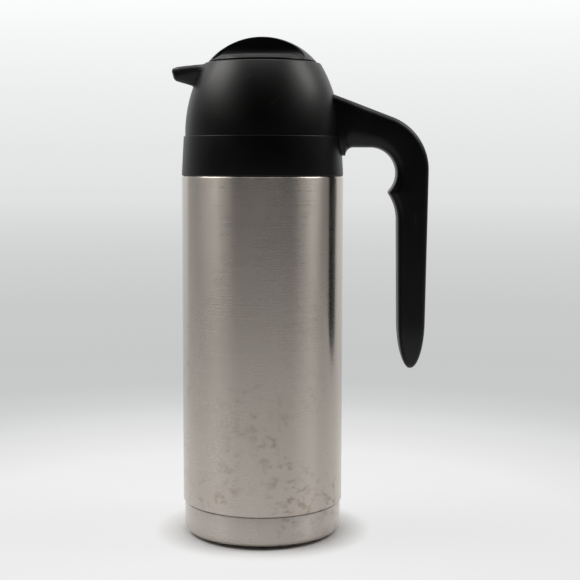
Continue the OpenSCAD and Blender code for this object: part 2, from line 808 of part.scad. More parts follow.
module handle_screws() {
    spigot_in = sqrt(pow(head_spigot_r - head_spigot_t, 2) - pow(screw_head_r, 2));
    dome_in = arc_x + sqrt(pow(head_arc_r - head_wall, 2) - pow(screw_z_high + screw_head_r - arc_z, 2));
    dome_seat = sqrt(dome_in * dome_in - screw_head_r * screw_head_r);
    color("silver") {
        handle_screw(spigot_in - screw_head_t - fit, screw_z_low);
        handle_screw(dome_seat - screw_head_t - fit, screw_z_high);
    }
}

// Finger scoop on the -Y side of the fin, grown by g on all sides
module finger_scoop(g) {
    wall_y = -fin_t / 2 + g;
    dish_z = scoop_floor - scoop_depth + scoop_r;
    dish_y = -fin_t / 2 - scoop_r;
    half_l = scoop_l / 2 + g;
    corner = scoop_corner + g;
    intersection() {
        translate([0, 0, lid_rim_z - 10]) linear_extrude(lid_crown + 20) {
            translate([-half_l, -lid_r - 5]) square([2 * half_l, wall_y - corner + lid_r + 5]);
            translate([-half_l + corner, -lid_r - 5]) square([2 * (half_l - corner), wall_y + lid_r + 5]);
            for (s = [-1, 1]) translate([s * (half_l - corner), wall_y - corner]) circle(corner);
        }
        union() {
            translate([-lid_r - 5, dish_y, dish_z]) rotate([0, 90, 0])
                cylinder(r = scoop_r + g, h = 2 * lid_r + 10);
            translate([-lid_r - 5, -lid_r - 5, scoop_floor - g])
                cube([2 * lid_r + 10, lid_r + 5 + dish_y, lid_crown + 20]);
            translate([-lid_r - 5, -lid_r - 5, dish_z])
                cube([2 * lid_r + 10, lid_r + 5 + wall_y, lid_crown + 20]);
        }
    }
}

// Crown of the lid, drawn inset by t
module lid_crown_form(t) {
    intersection() {
        translate([0, 0, lid_sphere_z]) sphere(lid_sphere_r - t);
        translate([0, 0, lid_rim_z]) cylinder(r = lid_r + 1, h = lid_crown + 1);
    }
}

module both_scoops(g) {
    finger_scoop(g);
    rotate(180) finger_scoop(g);
}

// Domed shell with a hollow fin, two scoops and a ring that plugs into the stopper
module lid_cap() {
    plug_r = stopper_bore - fit;
    plug_z = flange_top - plug_ring_h;
    color(black) rotate(lid_park_angle) difference() {
        union() {
            difference() {
                lid_crown_form(0);
                difference() {
                    lid_crown_form(lid_wall);
                    both_scoops(lid_wall);
                }
                translate([0, 0, lid_rim_z - 1])
                    cylinder(r = flange_r + slack, h = flange_top + slack - lid_rim_z + 1);
            }
            intersection() {
                translate([0, 0, plug_z]) rotate_extrude()
                    band(plug_r - plug_ring_t, plug_r, 0, lid_crown + plug_ring_h);
                union() {
                    lid_crown_form(0);
                    translate([0, 0, plug_z]) cylinder(r = stopper_r, h = plug_ring_h);
                }
            }
            intersection() {
                translate([0, 0, plug_z]) cylinder(r = plug_r, h = scoop_floor - plug_z);
                both_scoops(lid_wall);
            }
        }
        both_scoops(0);
    }
}

// Hollow stopper with a flange under the lid cap and a helical thread on its side
module stopper_body() {
    color(black) rotate(lid_park_angle) {
        rotate_extrude() difference() {
            union() {
                band(0, stopper_r, stopper_bottom, flange_top);
                band(0, flange_r, flange_z, flange_top);
            }
            band(0, stopper_bore, stopper_bottom + stopper_wall, flange_top + 1);
            band(seal_groove_r, stopper_r + 1, seal_z - seal_ring_r - slack, seal_z + seal_ring_r + slack);
        }
        for (i = [0 : thread_starts - 1])
            ridge(stopper_r - ridge_root, male_crest_r, i * 360 / thread_starts - lid_park_angle
                  - male_sweep / 2, male_sweep, female_mid_z + ridge_pitch / 2);
    }
}

module stopper_foam() {
    color("wheat") translate([0, 0, stopper_bottom + stopper_wall + fit])
        cylinder(r = stopper_bore - slack,
                 h = flange_top - plug_ring_h - stopper_bottom - stopper_wall - 2 * fit - 0.3);
}

// End cap that holds the flat gasket on the stopper
module stopper_end() {
    color(black) rotate_extrude() {
        band(0, end_boss_r, seat_z, stopper_bottom);
        band(0, end_flange_r, seat_z - end_flange_t, seat_z);
    }
}

module stopper_gasket() {
    color(rubber) rotate_extrude()
        band(end_boss_r + fit, stopper_r - slack, seat_z + fit, seat_z + fit + seal_t);
}

module upper_seal() {
    color(rubber) rotate_extrude() translate([seal_groove_r + fit + seal_ring_r, seal_z])
        circle(seal_ring_r);
}

outer_shell();
shell_neck();
inner_liner();
liner_neck();
radiation_foil();
vacuum_base();
getter_capsule();
seal_bead();
base_cup();
base_pad();
collar();
lock_ring();
neck_gasket();
pouring_head();
handle();
handle_screws();
lid_cap();
stopper_body();
stopper_foam();
stopper_end();
stopper_gasket();
upper_seal();
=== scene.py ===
"""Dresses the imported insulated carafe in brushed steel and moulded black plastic.

Sizes are in metres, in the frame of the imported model: the flask stands on z = 0 with its
axis on z, the spout points to -x and the handle to +x.
"""

import json
import logging
import math
from collections.abc import Iterator, Sequence
from contextlib import contextmanager
from dataclasses import dataclass
from enum import Enum

import bmesh
import bpy
from mathutils import Matrix, Vector
from mathutils.bvhtree import BVHTree

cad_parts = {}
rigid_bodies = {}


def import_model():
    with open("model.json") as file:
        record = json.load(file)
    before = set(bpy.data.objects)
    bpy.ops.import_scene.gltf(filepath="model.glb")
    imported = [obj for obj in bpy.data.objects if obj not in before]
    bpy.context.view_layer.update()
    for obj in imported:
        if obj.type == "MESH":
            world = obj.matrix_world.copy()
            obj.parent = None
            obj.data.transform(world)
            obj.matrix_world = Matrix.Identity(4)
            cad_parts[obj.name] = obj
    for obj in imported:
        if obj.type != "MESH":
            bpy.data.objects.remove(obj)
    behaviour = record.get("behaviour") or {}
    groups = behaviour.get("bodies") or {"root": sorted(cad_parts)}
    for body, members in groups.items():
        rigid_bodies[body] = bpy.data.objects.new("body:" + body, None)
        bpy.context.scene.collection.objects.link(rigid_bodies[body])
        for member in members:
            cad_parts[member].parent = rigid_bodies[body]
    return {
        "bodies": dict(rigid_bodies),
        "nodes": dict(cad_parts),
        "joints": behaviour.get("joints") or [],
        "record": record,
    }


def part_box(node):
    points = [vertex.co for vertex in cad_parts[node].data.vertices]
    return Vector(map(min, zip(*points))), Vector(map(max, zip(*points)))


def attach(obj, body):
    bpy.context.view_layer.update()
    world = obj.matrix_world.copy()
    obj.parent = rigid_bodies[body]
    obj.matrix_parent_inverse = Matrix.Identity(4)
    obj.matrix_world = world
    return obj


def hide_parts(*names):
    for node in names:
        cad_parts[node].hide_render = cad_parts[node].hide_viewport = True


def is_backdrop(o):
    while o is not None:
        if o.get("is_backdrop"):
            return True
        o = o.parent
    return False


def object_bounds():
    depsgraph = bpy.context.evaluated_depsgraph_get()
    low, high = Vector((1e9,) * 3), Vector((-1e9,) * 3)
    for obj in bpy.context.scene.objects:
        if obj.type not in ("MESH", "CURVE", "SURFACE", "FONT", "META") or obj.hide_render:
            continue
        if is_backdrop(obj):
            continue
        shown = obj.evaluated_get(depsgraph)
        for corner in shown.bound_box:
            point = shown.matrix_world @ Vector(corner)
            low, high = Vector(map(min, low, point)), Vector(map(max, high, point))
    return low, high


LOG = logging.getLogger("carafe")
MM = 0.001
MERGE = 0.005 * MM
SMOOTH_ANGLE = math.radians(40)
COOL_GREEN = 1.008
COOL_BLUE = 1.01
Point = tuple[float, float]
Colour = tuple[float, float, float]
Socket = bpy.types.NodeSocket


class Body(Enum):
    """Bodies of the frame that pieces ride on."""

    SERVER = "server"
    LID = "lid"


def arc(centre: Point, radius: float, start: float, end: float, steps: int) -> list[Point]:
    """Points along an arc.

    Args:
        centre: Centre of the arc, as radius from the axis and height.
        radius: Radius of the arc.
        start: First angle in degrees, from outward towards up.
        end: Last angle in degrees.
        steps: Number of stretches.

    Returns:
        The points, both ends included.
    """
    angles = [math.radians(start + (end - start) * i / steps) for i in range(steps + 1)]
    return [(centre[0] + radius * math.cos(a), centre[1] + radius * math.sin(a)) for a in angles]


def clamp(value: float) -> float:
    """The value held between 0 and 1."""
    return min(1.0, max(0.0, value))


def ease(value: float) -> float:
    """Smooth step from 0 to 1."""
    t = clamp(value)
    return t * t * (3 - 2 * t)


def only(obj: bpy.types.Object) -> None:
    """Selects one object and makes it active."""
    bpy.ops.object.select_all(action="DESELECT")
    obj.select_set(True)
    bpy.context.view_layer.objects.active = obj


@contextmanager
def editing(obj: bpy.types.Object) -> Iterator[None]:
    """Edit mode on one object, with all of it selected.

    Args:
        obj: The object to edit.
    """
    only(obj)
    bpy.ops.object.mode_set(mode="EDIT")
    bpy.ops.mesh.select_all(action="SELECT")
    yield
    bpy.ops.object.mode_set(mode="OBJECT")


def settle(obj: bpy.types.Object) -> None:
    """Puts the object's place into its mesh, so that it sits at the origin."""
    only(obj)
    bpy.ops.object.transform_apply(location=True, rotation=True, scale=True)


def shade(obj: bpy.types.Object, angle: float = SMOOTH_ANGLE) -> None:
    """Shades an object smooth, with edges sharper than the angle left crisp."""
    only(obj)
    bpy.ops.object.shade_smooth_by_angle(angle=angle)


def apply_modifier(obj: bpy.types.Object, kind: str, **settings: object) -> None:
    """Adds a modifier and applies it.

    Args:
        obj: The object to change.
        kind: Type of the modifier.
        **settings: Its values by name.
    """
    only(obj)
    modifier = obj.modifiers.new(kind.title(), kind)
    for key, value in settings.items():
        setattr(modifier, key, value)
    bpy.ops.object.modifier_apply(modifier=modifier.name)


def combine(obj: bpy.types.Object, tool: bpy.types.Object, operation: str) -> None:
    """Joins, cuts or crosses an object with a tool solid, which is then deleted.

    Args:
        obj: The object to change.
        tool: The solid to change it with.
        operation: UNION, DIFFERENCE or INTERSECT.
    """
    apply_modifier(obj, "BOOLEAN", operation=operation, object=tool, solver="EXACT")
    bpy.data.objects.remove(tool)


def trace(name: str, points: Sequence[Vector]) -> bpy.types.Object:
    """Draws a chain of edges by extruding one vertex along it.

    Args:
        name: Name of the new object.
        points: Corners of the chain in order.

    Returns:
        The new object.
    """
    bpy.ops.object.select_all(action="DESELECT")
    bpy.ops.mesh.primitive_plane_add(size=MM, location=points[0])
    obj = bpy.context.object
    obj.name = name
    obj.data.name = name
    with editing(obj):
        bpy.ops.mesh.merge(type="CENTER")
        for here, there in zip(points, points[1:]):
            bpy.ops.mesh.extrude_vertices_move(TRANSFORM_OT_translate={"value": there - here})
    settle(obj)
    return obj


@dataclass(frozen=True)
class Sweep:
    """One stretch of a spin about the axis."""

    angle: float
    steps: int


FULL_TURN = (Sweep(360, 240),)


def spin(name: str, outline: Sequence[Point], sweeps: Sequence[Sweep] = FULL_TURN,
         start: float = 0.0, closed: bool = True) -> bpy.types.Object:
    """Spins an outline about the axis of the flask into a closed skin.

    Args:
        name: Name of the new object.
        outline: Points as radius and height.
        sweeps: The stretches of the turn, which add up to 360 degrees.
        start: Angle of the first column in degrees.
        closed: Whether the last point joins the first; otherwise both lie on the axis.

    Returns:
        The new object.
    """
    a = math.radians(start)
    obj = trace(name, [Vector((r * math.cos(a), r * math.sin(a), z)) for r, z in outline])
    with editing(obj):
        if closed:
            mesh = bmesh.from_edit_mesh(obj.data)
            for vert in mesh.verts:
                vert.select_set(len(vert.link_edges) == 1)
            mesh.select_flush_mode()
            bmesh.update_edit_mesh(obj.data)
            bpy.ops.mesh.edge_face_add()
            bpy.ops.mesh.select_all(action="SELECT")
        for sweep in sweeps:
            bpy.ops.mesh.spin(steps=sweep.steps, angle=math.radians(sweep.angle),
                              center=(0, 0, 0), axis=(0, 0, 1))
        bpy.ops.mesh.select_all(action="SELECT")
        bpy.ops.mesh.remove_doubles(threshold=MERGE)
        bpy.ops.mesh.normals_make_consistent(inside=False)
    return obj


def prism(name: str, corners: Sequence[Vector], along: Vector) -> bpy.types.Object:
    """Extrudes a flat outline into a solid.

    Args:
        name: Name of the new object.
        corners: Corners of the outline in order.
        along: Length and direction of the extrusion.

    Returns:
        The new object.
    """
    obj = trace(name, corners)
    with editing(obj):
        bpy.ops.mesh.edge_face_add()
        bpy.ops.mesh.extrude_region_move(TRANSFORM_OT_translate={"value": along})
        bpy.ops.mesh.select_all(action="SELECT")
        bpy.ops.mesh.normals_make_consistent(inside=False)
    return obj


def loft(name: str, rings: Sequence[Sequence[Vector]]) -> bpy.types.Object:
    """Extrudes an end face from ring to ring along a form.

    Args:
        name: Name of the new object.
        rings: Rings of equally many points, from one end to the other.

    Returns:
        The new object, closed at both ends.
    """
    bpy.ops.object.select_all(action="DESELECT")
    bpy.ops.mesh.primitive_circle_add(vertices=len(rings[0]), radius=MM, fill_type="NGON")
    obj = bpy.context.object
    obj.name = name
    obj.data.name = name
    with editing(obj):
        mesh = bmesh.from_edit_mesh(obj.data)
        mesh.verts.ensure_lookup_table()
        for vert, place in zip(mesh.verts, rings[0]):
            vert.co = place
        bmesh.update_edit_mesh(obj.data)
        for ring, following in zip(rings, rings[1:]):
            bpy.ops.mesh.extrude_region_move(TRANSFORM_OT_translate={"value": (0, 0, 0)})
            mesh = bmesh.from_edit_mesh(obj.data)
            end = [vert for vert in mesh.verts if vert.select]
            for vert, place in zip(in_order(end, ring), following):
                vert.co = place
            bmesh.update_edit_mesh(obj.data)
        bpy.ops.mesh.select_all(action="SELECT")
        bpy.ops.mesh.normals_make_consistent(inside=False)
    settle(obj)
    return obj


def in_order(verts: Sequence[bmesh.types.BMVert], places: Sequence[Vector]) -> list[bmesh.types.BMVert]:
    """Matches vertices to the places where they stand.

    Args:
        verts: The vertices in any order.
        places: The places in the order wanted.

    Returns:
        The vertices in the order of the places.
    """
    left = list(verts)
    found = []
    for place in places:
        nearest = min(left, key=lambda vert: (vert.co - place).length_squared)
        left.remove(nearest)
        found.append(nearest)
    return found


def hull(name: str, centres: Sequence[Vector], radii: Sequence[float], rise: float = 0.0,
         detail: int = 4) -> bpy.types.Object:
    """Wraps a convex skin round balls, or round balls drawn upward into pins.

    Args:
        name: Name of the new object.
        centres: Centres of the balls.
        radii: Their radii.
        rise: How far each ball is drawn upward.
        detail: Subdivisions of each ball.

    Returns:
        The new object.
    """
    balls = []
    for centre, radius in zip(centres, radii):
        for lift in {0.0, rise}:
            bpy.ops.object.select_all(action="DESELECT")
            bpy.ops.mesh.primitive_ico_sphere_add(subdivisions=detail, radius=radius,
                                                  location=centre + Vector((0, 0, lift)))
            balls.append(bpy.context.object)
    for ball in balls:
        ball.select_set(True)
    bpy.context.view_layer.objects.active = balls[0]
    bpy.ops.object.join()
    obj = bpy.context.object
    obj.name = name
    settle(obj)
    with editing(obj):
        bpy.ops.mesh.convex_hull()
    return obj


class Graph:
    """Shader nodes of one tree, added in code."""

    def __init__(self, tree: bpy.types.NodeTree, output: str, space: str) -> None:
        """Empties the tree and adds its output and its coordinates.

        Args:
            tree: Tree of a material or of the world.
            output: Type of the output node.
            space: Coordinates that the tree reads.
        """
        self.tree = tree
        self.tree.nodes.clear()
        self.output = self.add(output)
        self.place = self.add("ShaderNodeTexCoord").outputs[space]

    def show(self, shader: bpy.types.Node) -> None:
        """Links a shader to the output."""
        self.tree.links.new(shader.outputs[0], self.output.inputs["Surface"])

    def add(self, kind: str, inputs: dict | None = None, **settings: object) -> bpy.types.Node:
        """Adds a node.

        Args:
            kind: Type of the node.
            inputs: Numbers, colours or sockets by the input's name or index.
            **settings: The node's own options.

        Returns:
            The new node.
        """
        node = self.tree.nodes.new(kind)
        for key, value in settings.items():
            setattr(node, key, value)
        for key, value in (inputs or {}).items():
            if isinstance(value, Socket):
                self.tree.links.new(value, node.inputs[key])
            else:
                node.inputs[key].default_value = value
        return node

    def scaled(self, scale: tuple[float, float, float], turn: float = 0.0,
               axis: int = 2) -> Socket:
        """Object coordinates, turned about one axis and then scaled."""
        turned = [0.0, 0.0, 0.0]
        turned[axis] = math.radians(turn)
        first = self.add("ShaderNodeMapping", {"Vector": self.place, "Rotation": turned})
        return self.add("ShaderNodeMapping", {"Vector": first.outputs[0], "Scale": scale}).outputs[0]

    def axis(self, name: str) -> Socket:
        """One of the coordinates."""
        return self.add("ShaderNodeSeparateXYZ", {0: self.place}).outputs[name]

    def noise(self, where: Socket, scale: float = 1.0, detail: float = 3.0,
              roughness: float = 0.5) -> Socket:
        """Value of a noise texture."""
        return self.add("ShaderNodeTexNoise", {"Vector": where, "Scale": scale, "Detail": detail,
                                               "Roughness": roughness}).outputs[0]

    def band(self, value: Socket, low: float, high: float, to_low: float = 0.0,
             to_high: float = 1.0) -> Socket:
        """A value stretched from one range to another, held at its ends."""
        return self.add("ShaderNodeMapRange", {"Value": value, "From Min": low, "From Max": high,
                                               "To Min": to_low, "To Max": to_high}).outputs[0]

    def math(self, operation: str, a: object, b: object = 0.0) -> Socket:
        """Sum, product or other combination of two values."""
        return self.add("ShaderNodeMath", {0: a, 1: b}, operation=operation).outputs[0]

    def mix(self, factor: object, a: object, b: object) -> Socket:
        """Mixes two colours."""
        wrap = [value if isinstance(value, Socket) else (*value, 1.0) for value in (a, b)]
        return self.add("ShaderNodeMix", {"Factor": factor, "A": wrap[0], "B": wrap[1]},
                        data_type="RGBA").outputs["Result"]

    def bump(self, height: Socket, strength: float, distance: float,
             under: Socket | None = None) -> Socket:
        """Normal raised by a height."""
        inputs = {"Height": height, "Strength": strength, "Distance": distance}
        if under is not None:
            inputs["Normal"] = under
        return self.add("ShaderNodeBump", inputs).outputs[0]

    def ramp(self, value: Socket, stops: Sequence[Point]) -> Socket:
        """Tone that follows a value through given stops.

        Args:
            value: The value that is followed.
            stops: Value and tone of each stop, from the lowest value up.

        Returns:
            The colour, a trace cooler than grey.
        """
        low, high = stops[0][0], stops[-1][0]
        node = self.add("ShaderNodeValToRGB", {"Fac": self.band(value, low, high)})
        elements = node.color_ramp.elements
        while len(elements) < len(stops):
            elements.new(0.5)
        for element, (at, tone) in zip(list(elements), stops):
            element.color = (tone, tone * COOL_GREEN, tone * COOL_BLUE, 1)
            element.position = (at - low) / (high - low)
        return node.outputs[0]

    def seen(self) -> Socket:
        """Whether a ray comes from the camera, or from metal or glass that shows the set."""
        path = self.add("ShaderNodeLightPath").outputs
        either = self.math("MAXIMUM", path["Is Camera Ray"], path["Is Glossy Ray"])
        return self.math("MAXIMUM", either, path["Is Transmission Ray"])


class Surface(Graph):
    """A material with one principled surface, on Object coordinates."""

    def __init__(self, name: str) -> None:
        """Starts the material.

        Args:
            name: Name of the material.
        """
        self.material = bpy.data.materials.new(name)
        self.material.use_nodes = True
        super().__init__(self.material.node_tree, "ShaderNodeOutputMaterial", "Object")
        self.surface = self.add("ShaderNodeBsdfPrincipled")
        self.show(self.surface)

    def set(self, **inputs: object) -> None:
        """Sets or links the surface's inputs, named with underscores for spaces."""
        for key, value in inputs.items():
            socket = self.surface.inputs[key.replace("_", " ")]
            if isinstance(value, Socket):
                self.tree.links.new(value, socket)
            elif isinstance(value, tuple) and len(value) == 3:
                socket.default_value = (*value, 1.0)
            else:
                socket.default_value = value


@dataclass(frozen=True)
class BrushedSteel:
    """Steel brushed round the axis, with marks that grow denser towards the foot."""

    name: str
    colour: Colour
    roughness: float = 0.28
    spread: float = 0.014
    anisotropy: float = 1.0
    marks: float = 1.0
    stain: Colour = (0.62, 0.56, 0.50)
    marks_start: float = 170 * MM
    marks_full: float = 20 * MM

    def brushing(self, g: Surface) -> Socket:
        """Fine and broad streaks round the axis, as a value about 0."""
        fine = g.noise(g.scaled((25, 25, 5200)), detail=2)
        broad = g.noise(g.scaled((9, 9, 700)), detail=4, roughness=0.65)
        return g.math("ADD", g.band(fine, 0.3, 0.7, -0.5, 0.5), g.band(broad, 0.3, 0.7, -0.5, 0.5))

    def stains(self, g: Surface, low: Socket) -> Socket:
        """Share of brown stain, in patches, for how low the place is."""
        blotch = g.band(g.noise(g.scaled((150, 150, 180)), detail=5, roughness=0.62), 0.5, 0.64)
        patch = g.band(g.noise(g.scaled((26, 26, 20)), detail=2), 0.44, 0.62, 0, self.marks)
        return g.math("MULTIPLY", g.math("MULTIPLY", blotch, patch), low)

    def specks(self, g: Surface, low: Socket) -> Socket:
        """Share of dark specks, for how low the place is."""
        away = g.add("ShaderNodeTexVoronoi", {"Vector": g.place, "Scale": 75.0}).outputs["Distance"]
        return g.math("MULTIPLY", g.band(away, 0.035, 0.055, self.marks, 0), g.band(low, 0.5, 0.9))

    def build(self) -> bpy.types.Material:
        """Material of the finish."""
        g = Surface(self.name)
        height = g.axis("Z")
        low = g.band(height, self.marks_start, self.marks_full, 0.12, 1.0)
        streak = self.brushing(g)
        dark, light = (tuple(min(1.0, c * tone) for c in self.colour) for tone in (0.975, 1.02))
        brown = tuple(c * tone for c, tone in zip(self.colour, self.stain))
        clean = g.mix(g.band(streak, -0.9, 0.9), dark, light)
        stained = g.mix(g.math("MULTIPLY", self.stains(g, low), 0.85), clean, brown)
        marked = g.mix(g.math("MULTIPLY", self.specks(g, low), 0.75), stained, tuple(c * 0.2 for c in brown))
        smear = g.noise(g.scaled((14, 14, 9)), detail=5, roughness=0.6)
        fine, coarse = self.roughness - self.spread, self.roughness + self.spread
        rough = g.math("ADD", g.band(streak, -1, 1, fine, coarse), g.band(smear, 0.35, 0.7, -0.02, 0.03))
        tangent = g.add("ShaderNodeTangent", direction_type="RADIAL", axis="Z").outputs[0]
        g.set(Base_Color=marked, Metallic=1.0, Roughness=rough, Anisotropic=self.anisotropy,
              Anisotropic_Rotation=0.25, Tangent=tangent)
        return g.material


@dataclass(frozen=True)
class MouldedPlastic:
    """Black moulded plastic with a faint grain, fine scratches and dust."""

    name: str
    colour: Colour
    roughness: float = 0.42
    grain: float = 0.10
    wear: float = 1.0
    sheen: float = 0.27

    def build(self) -> bpy.types.Material:
        """Material of the finish."""
        g = Surface(self.name)
        cloud = g.noise(g.scaled((22, 22, 22)), detail=5, roughness=0.6)
        grain = g.noise(g.scaled((2300, 2300, 2300)), detail=2)
        scratches = None
        for turn, axis, scale in ((24, 0, (55, 1900, 55)), (-38, 1, (60, 60, 2300)), (67, 2, (1700, 48, 70))):
            lines = g.band(g.noise(g.scaled(scale, turn, axis), detail=1), 0.735, 0.76)
            scratches = lines if scratches is None else g.math("MAXIMUM", scratches, lines)
        patchy = g.band(g.noise(g.scaled((31, 31, 31)), detail=2), 0.52, 0.66, 0, self.wear)
        scratches = g.math("MULTIPLY", scratches, patchy)
        dust = g.add("ShaderNodeTexVoronoi", {"Vector": g.place, "Scale": 260.0}).outputs["Distance"]
        dust = g.math("MULTIPLY", g.band(dust, 0.05, 0.09, 1, 0), g.band(cloud, 0.5, 0.6, 0, self.wear))
        marks = g.math("ADD", g.math("MULTIPLY", scratches, 0.5), g.math("MULTIPLY", dust, 0.4))
        worn = g.mix(g.band(cloud, 0.35, 0.7), self.colour, tuple(c * 1.45 for c in self.colour))
        marked = g.mix(marks, worn, tuple(0.02 + c for c in self.colour))
        rough = g.math("ADD", g.band(cloud, 0.3, 0.7, self.roughness - 0.04, self.roughness + 0.05),
                       g.math("MULTIPLY", scratches, 0.15))
        normal = g.bump(grain, self.grain, 0.02 * MM)
        g.set(Base_Color=marked, Roughness=rough, IOR=1.5, Specular_IOR_Level=self.sheen,
              Normal=g.bump(scratches, 0.3, -0.02 * MM, normal))
        return g.material


@dataclass(frozen=True)
class PlainMetal:
    """Drawn or plated metal that hardly shows."""

    name: str
    colour: Colour
    roughness: float = 0.3

    def build(self) -> bpy.types.Material:
        """Material of the finish."""
        g = Surface(self.name)
        drawn = g.noise(g.scaled((60, 60, 900)), detail=3)
        cloud = g.noise(g.scaled((30, 30, 30)), detail=4)
        tone = g.mix(g.band(drawn, 0.3, 0.7), tuple(c * 0.92 for c in self.colour), self.colour)
        rough = g.band(cloud, 0.3, 0.7, self.roughness - 0.05, self.roughness + 0.07)
        g.set(Base_Color=tone, Metallic=1.0, Roughness=rough, Normal=g.bump(drawn, 0.06, 0.02 * MM))
        return g.material


@dataclass(frozen=True)
class SoftPart:
    """Rubber, silicone or foam."""

    name: str
    colour: Colour
    roughness: float = 0.6
    cell: float = 900.0
    relief: float = 0.2
    glow: float = 0.0

    def build(self) -> bpy.types.Material:
        """Material of the finish."""
        g = Surface(self.name)
        cells = g.noise(g.place, scale=self.cell, detail=3)
        cloud = g.noise(g.place, scale=35, detail=4)
        tone = g.mix(g.band(cloud, 0.3, 0.7), tuple(c * 0.85 for c in self.colour), self.colour)
        rough = g.band(cells, 0.3, 0.7, self.roughness - 0.06, self.roughness + 0.06)
        g.set(Base_Color=tone, Roughness=rough, Normal=g.bump(cells, self.relief, 0.05 * MM),
              Subsurface_Weight=self.glow, Subsurface_Scale=2 * MM)
        return g.material


class Finishes:
    """Every material of the object, by the record's slot."""

    def __init__(self) -> None:
        """Builds the materials."""
        kinds = (
            BrushedSteel("brushed_steel", (0.55, 0.495, 0.445)),
            BrushedSteel("base_steel", (0.55, 0.50, 0.46), roughness=0.27, marks=0.6),
            PlainMetal("liner_steel", (0.60, 0.59, 0.57), roughness=0.28),
            PlainMetal("copper_foil", (0.78, 0.45, 0.28), roughness=0.2),
            PlainMetal("getter_metal", (0.42, 0.42, 0.43), roughness=0.45),
            PlainMetal("screw_steel", (0.66, 0.66, 0.66), roughness=0.22),
            MouldedPlastic("collar_plastic", (0.0012, 0.0011, 0.0011), roughness=0.36),
            MouldedPlastic("head_plastic", (0.0016, 0.0015, 0.0014), roughness=0.38),
            MouldedPlastic("handle_plastic", (0.0009, 0.0009, 0.0009), roughness=0.37),
            MouldedPlastic("lid_plastic", (0.0014, 0.0013, 0.0012), roughness=0.36),
            MouldedPlastic("inner_plastic", (0.016, 0.016, 0.016), roughness=0.5, wear=0.4),
            SoftPart("pad_rubber", (0.03, 0.03, 0.03), roughness=0.75),
            SoftPart("seal_silicone", (0.55, 0.55, 0.53), roughness=0.4, relief=0.05, glow=0.3),
            SoftPart("foam", (0.80, 0.74, 0.58), roughness=0.9, cell=1500, relief=0.8),
        )
        self.by_slot = {kind.name: kind.build() for kind in kinds}

    def dress(self, obj: bpy.types.Object, slot: str) -> None:
        """Gives a new piece its one material."""
        obj.data.materials.clear()
        obj.data.materials.append(self.by_slot[slot])

    def dress_nodes(self, frame: dict) -> None:
        """Gives each solid of the frame the material of its slot."""
        for part in frame["record"]["subparts"]:
            for slot in frame["nodes"][part["node"]].material_slots:
                slot.material = self.by_slot[part["material_slot"]]


def finish_piece(obj: bpy.types.Object, finishes: Finishes, slot: str, body: Body,
                 *nodes: str) -> None:
    """Dresses a new piece, seats it on its body and reports it.

    Args:
        obj: The piece.
        finishes: The materials.
        slot: The record's material slot.
        body: The body that it rides on.
        *nodes: The solids that it stands for.
    """
    finishes.dress(obj, slot)
    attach(obj, body.value)
    if nodes:
        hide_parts(*nodes)
    LOG.info("%s: %d faces, rides on %s", obj.name, len(obj.data.polygons), body.value)


@dataclass
class SteelFlask:
    """The visible steel: the body and the pressed base ring below its groove."""

    wall: float = 0.6 * MM
    top_corner: float = 1.2 * MM
    foot_edge: float = 0.3 * MM
    bottom_lip: float = 0.7 * MM
    flange: float = 3.4 * MM
    ring_corner: float = 4.0 * MM
    ring_edge: float = 0.6 * MM
    pad_room: float = 1.6 * MM
    pad_fit: float = 0.05 * MM
    groove: float = 0.9 * MM
    spigot_inset: float = 0.6 * MM
    steps: int = 288

    def body_outline(self) -> list[Point]:
        """Wall of the steel body in profile, as one closed loop."""
        low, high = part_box("outer_shell")
        r, base, top = high.x, low.z, high.z
        outer = [(r - self.wall - self.bottom_lip, base)]
        outer += arc((r - self.foot_edge, base + self.foot_edge), self.foot_edge, -90, 0, 4)
        outer += arc((r - self.top_corner, top - self.top_corner), self.top_corner, 0, 90, 8)
        inner = [(r - self.flange, top), (r - self.flange, top - self.wall)]
        inner += arc((r - self.top_corner, top - self.top_corner), self.top_corner - self.wall, 90, 0, 6)
        inner += [(r - self.wall, base + self.wall), (r - self.wall - self.bottom_lip, base + self.wall)]
        return outer + inner

    def ring_outline(self) -> list[Point]:
        """Wall of the base ring in profile, from the pad's seat out and up to its spigot."""
        low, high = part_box("base_cup")
        r, base, spigot_top = high.x, low.z, high.z
        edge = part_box("outer_shell")[0].z - self.groove
        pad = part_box("base_pad")[1].x + self.pad_room
        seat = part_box("base_pad")[1].z + self.pad_fit
        c, e, w = self.ring_corner, self.ring_edge, self.wall
        outer = [(0, seat), (pad - w, seat), (pad - w, base)]
        outer += arc((r - c, base + c), c, -90, 0, 10)
        outer += arc((r - e, edge - e), e, 0, 90, 6)
        spigot = r - self.spigot_inset
        outer += [(spigot, edge), (spigot, spigot_top), (spigot - w, spigot_top)]
        inner = arc((r - c, base + c), c - w, 0, -90, 8)
        return outer + [(spigot - w, edge - w), (r - w, edge - w)] + inner + [
            (pad, base + w), (pad, seat + w), (0, seat + w)]

    def build(self, finishes: Finishes) -> None:
        """Models and dresses both pieces."""
        turn = (Sweep(360, self.steps),)
        body = spin("steel_body", self.body_outline(), turn)
        shade(body)
        finish_piece(body, finishes, "brushed_steel", Body.SERVER, "outer_shell")
        ring = spin("base_ring", self.ring_outline(), turn, closed=False)
        shade(ring)
        finish_piece(ring, finishes, "base_steel", Body.SERVER, "base_cup")


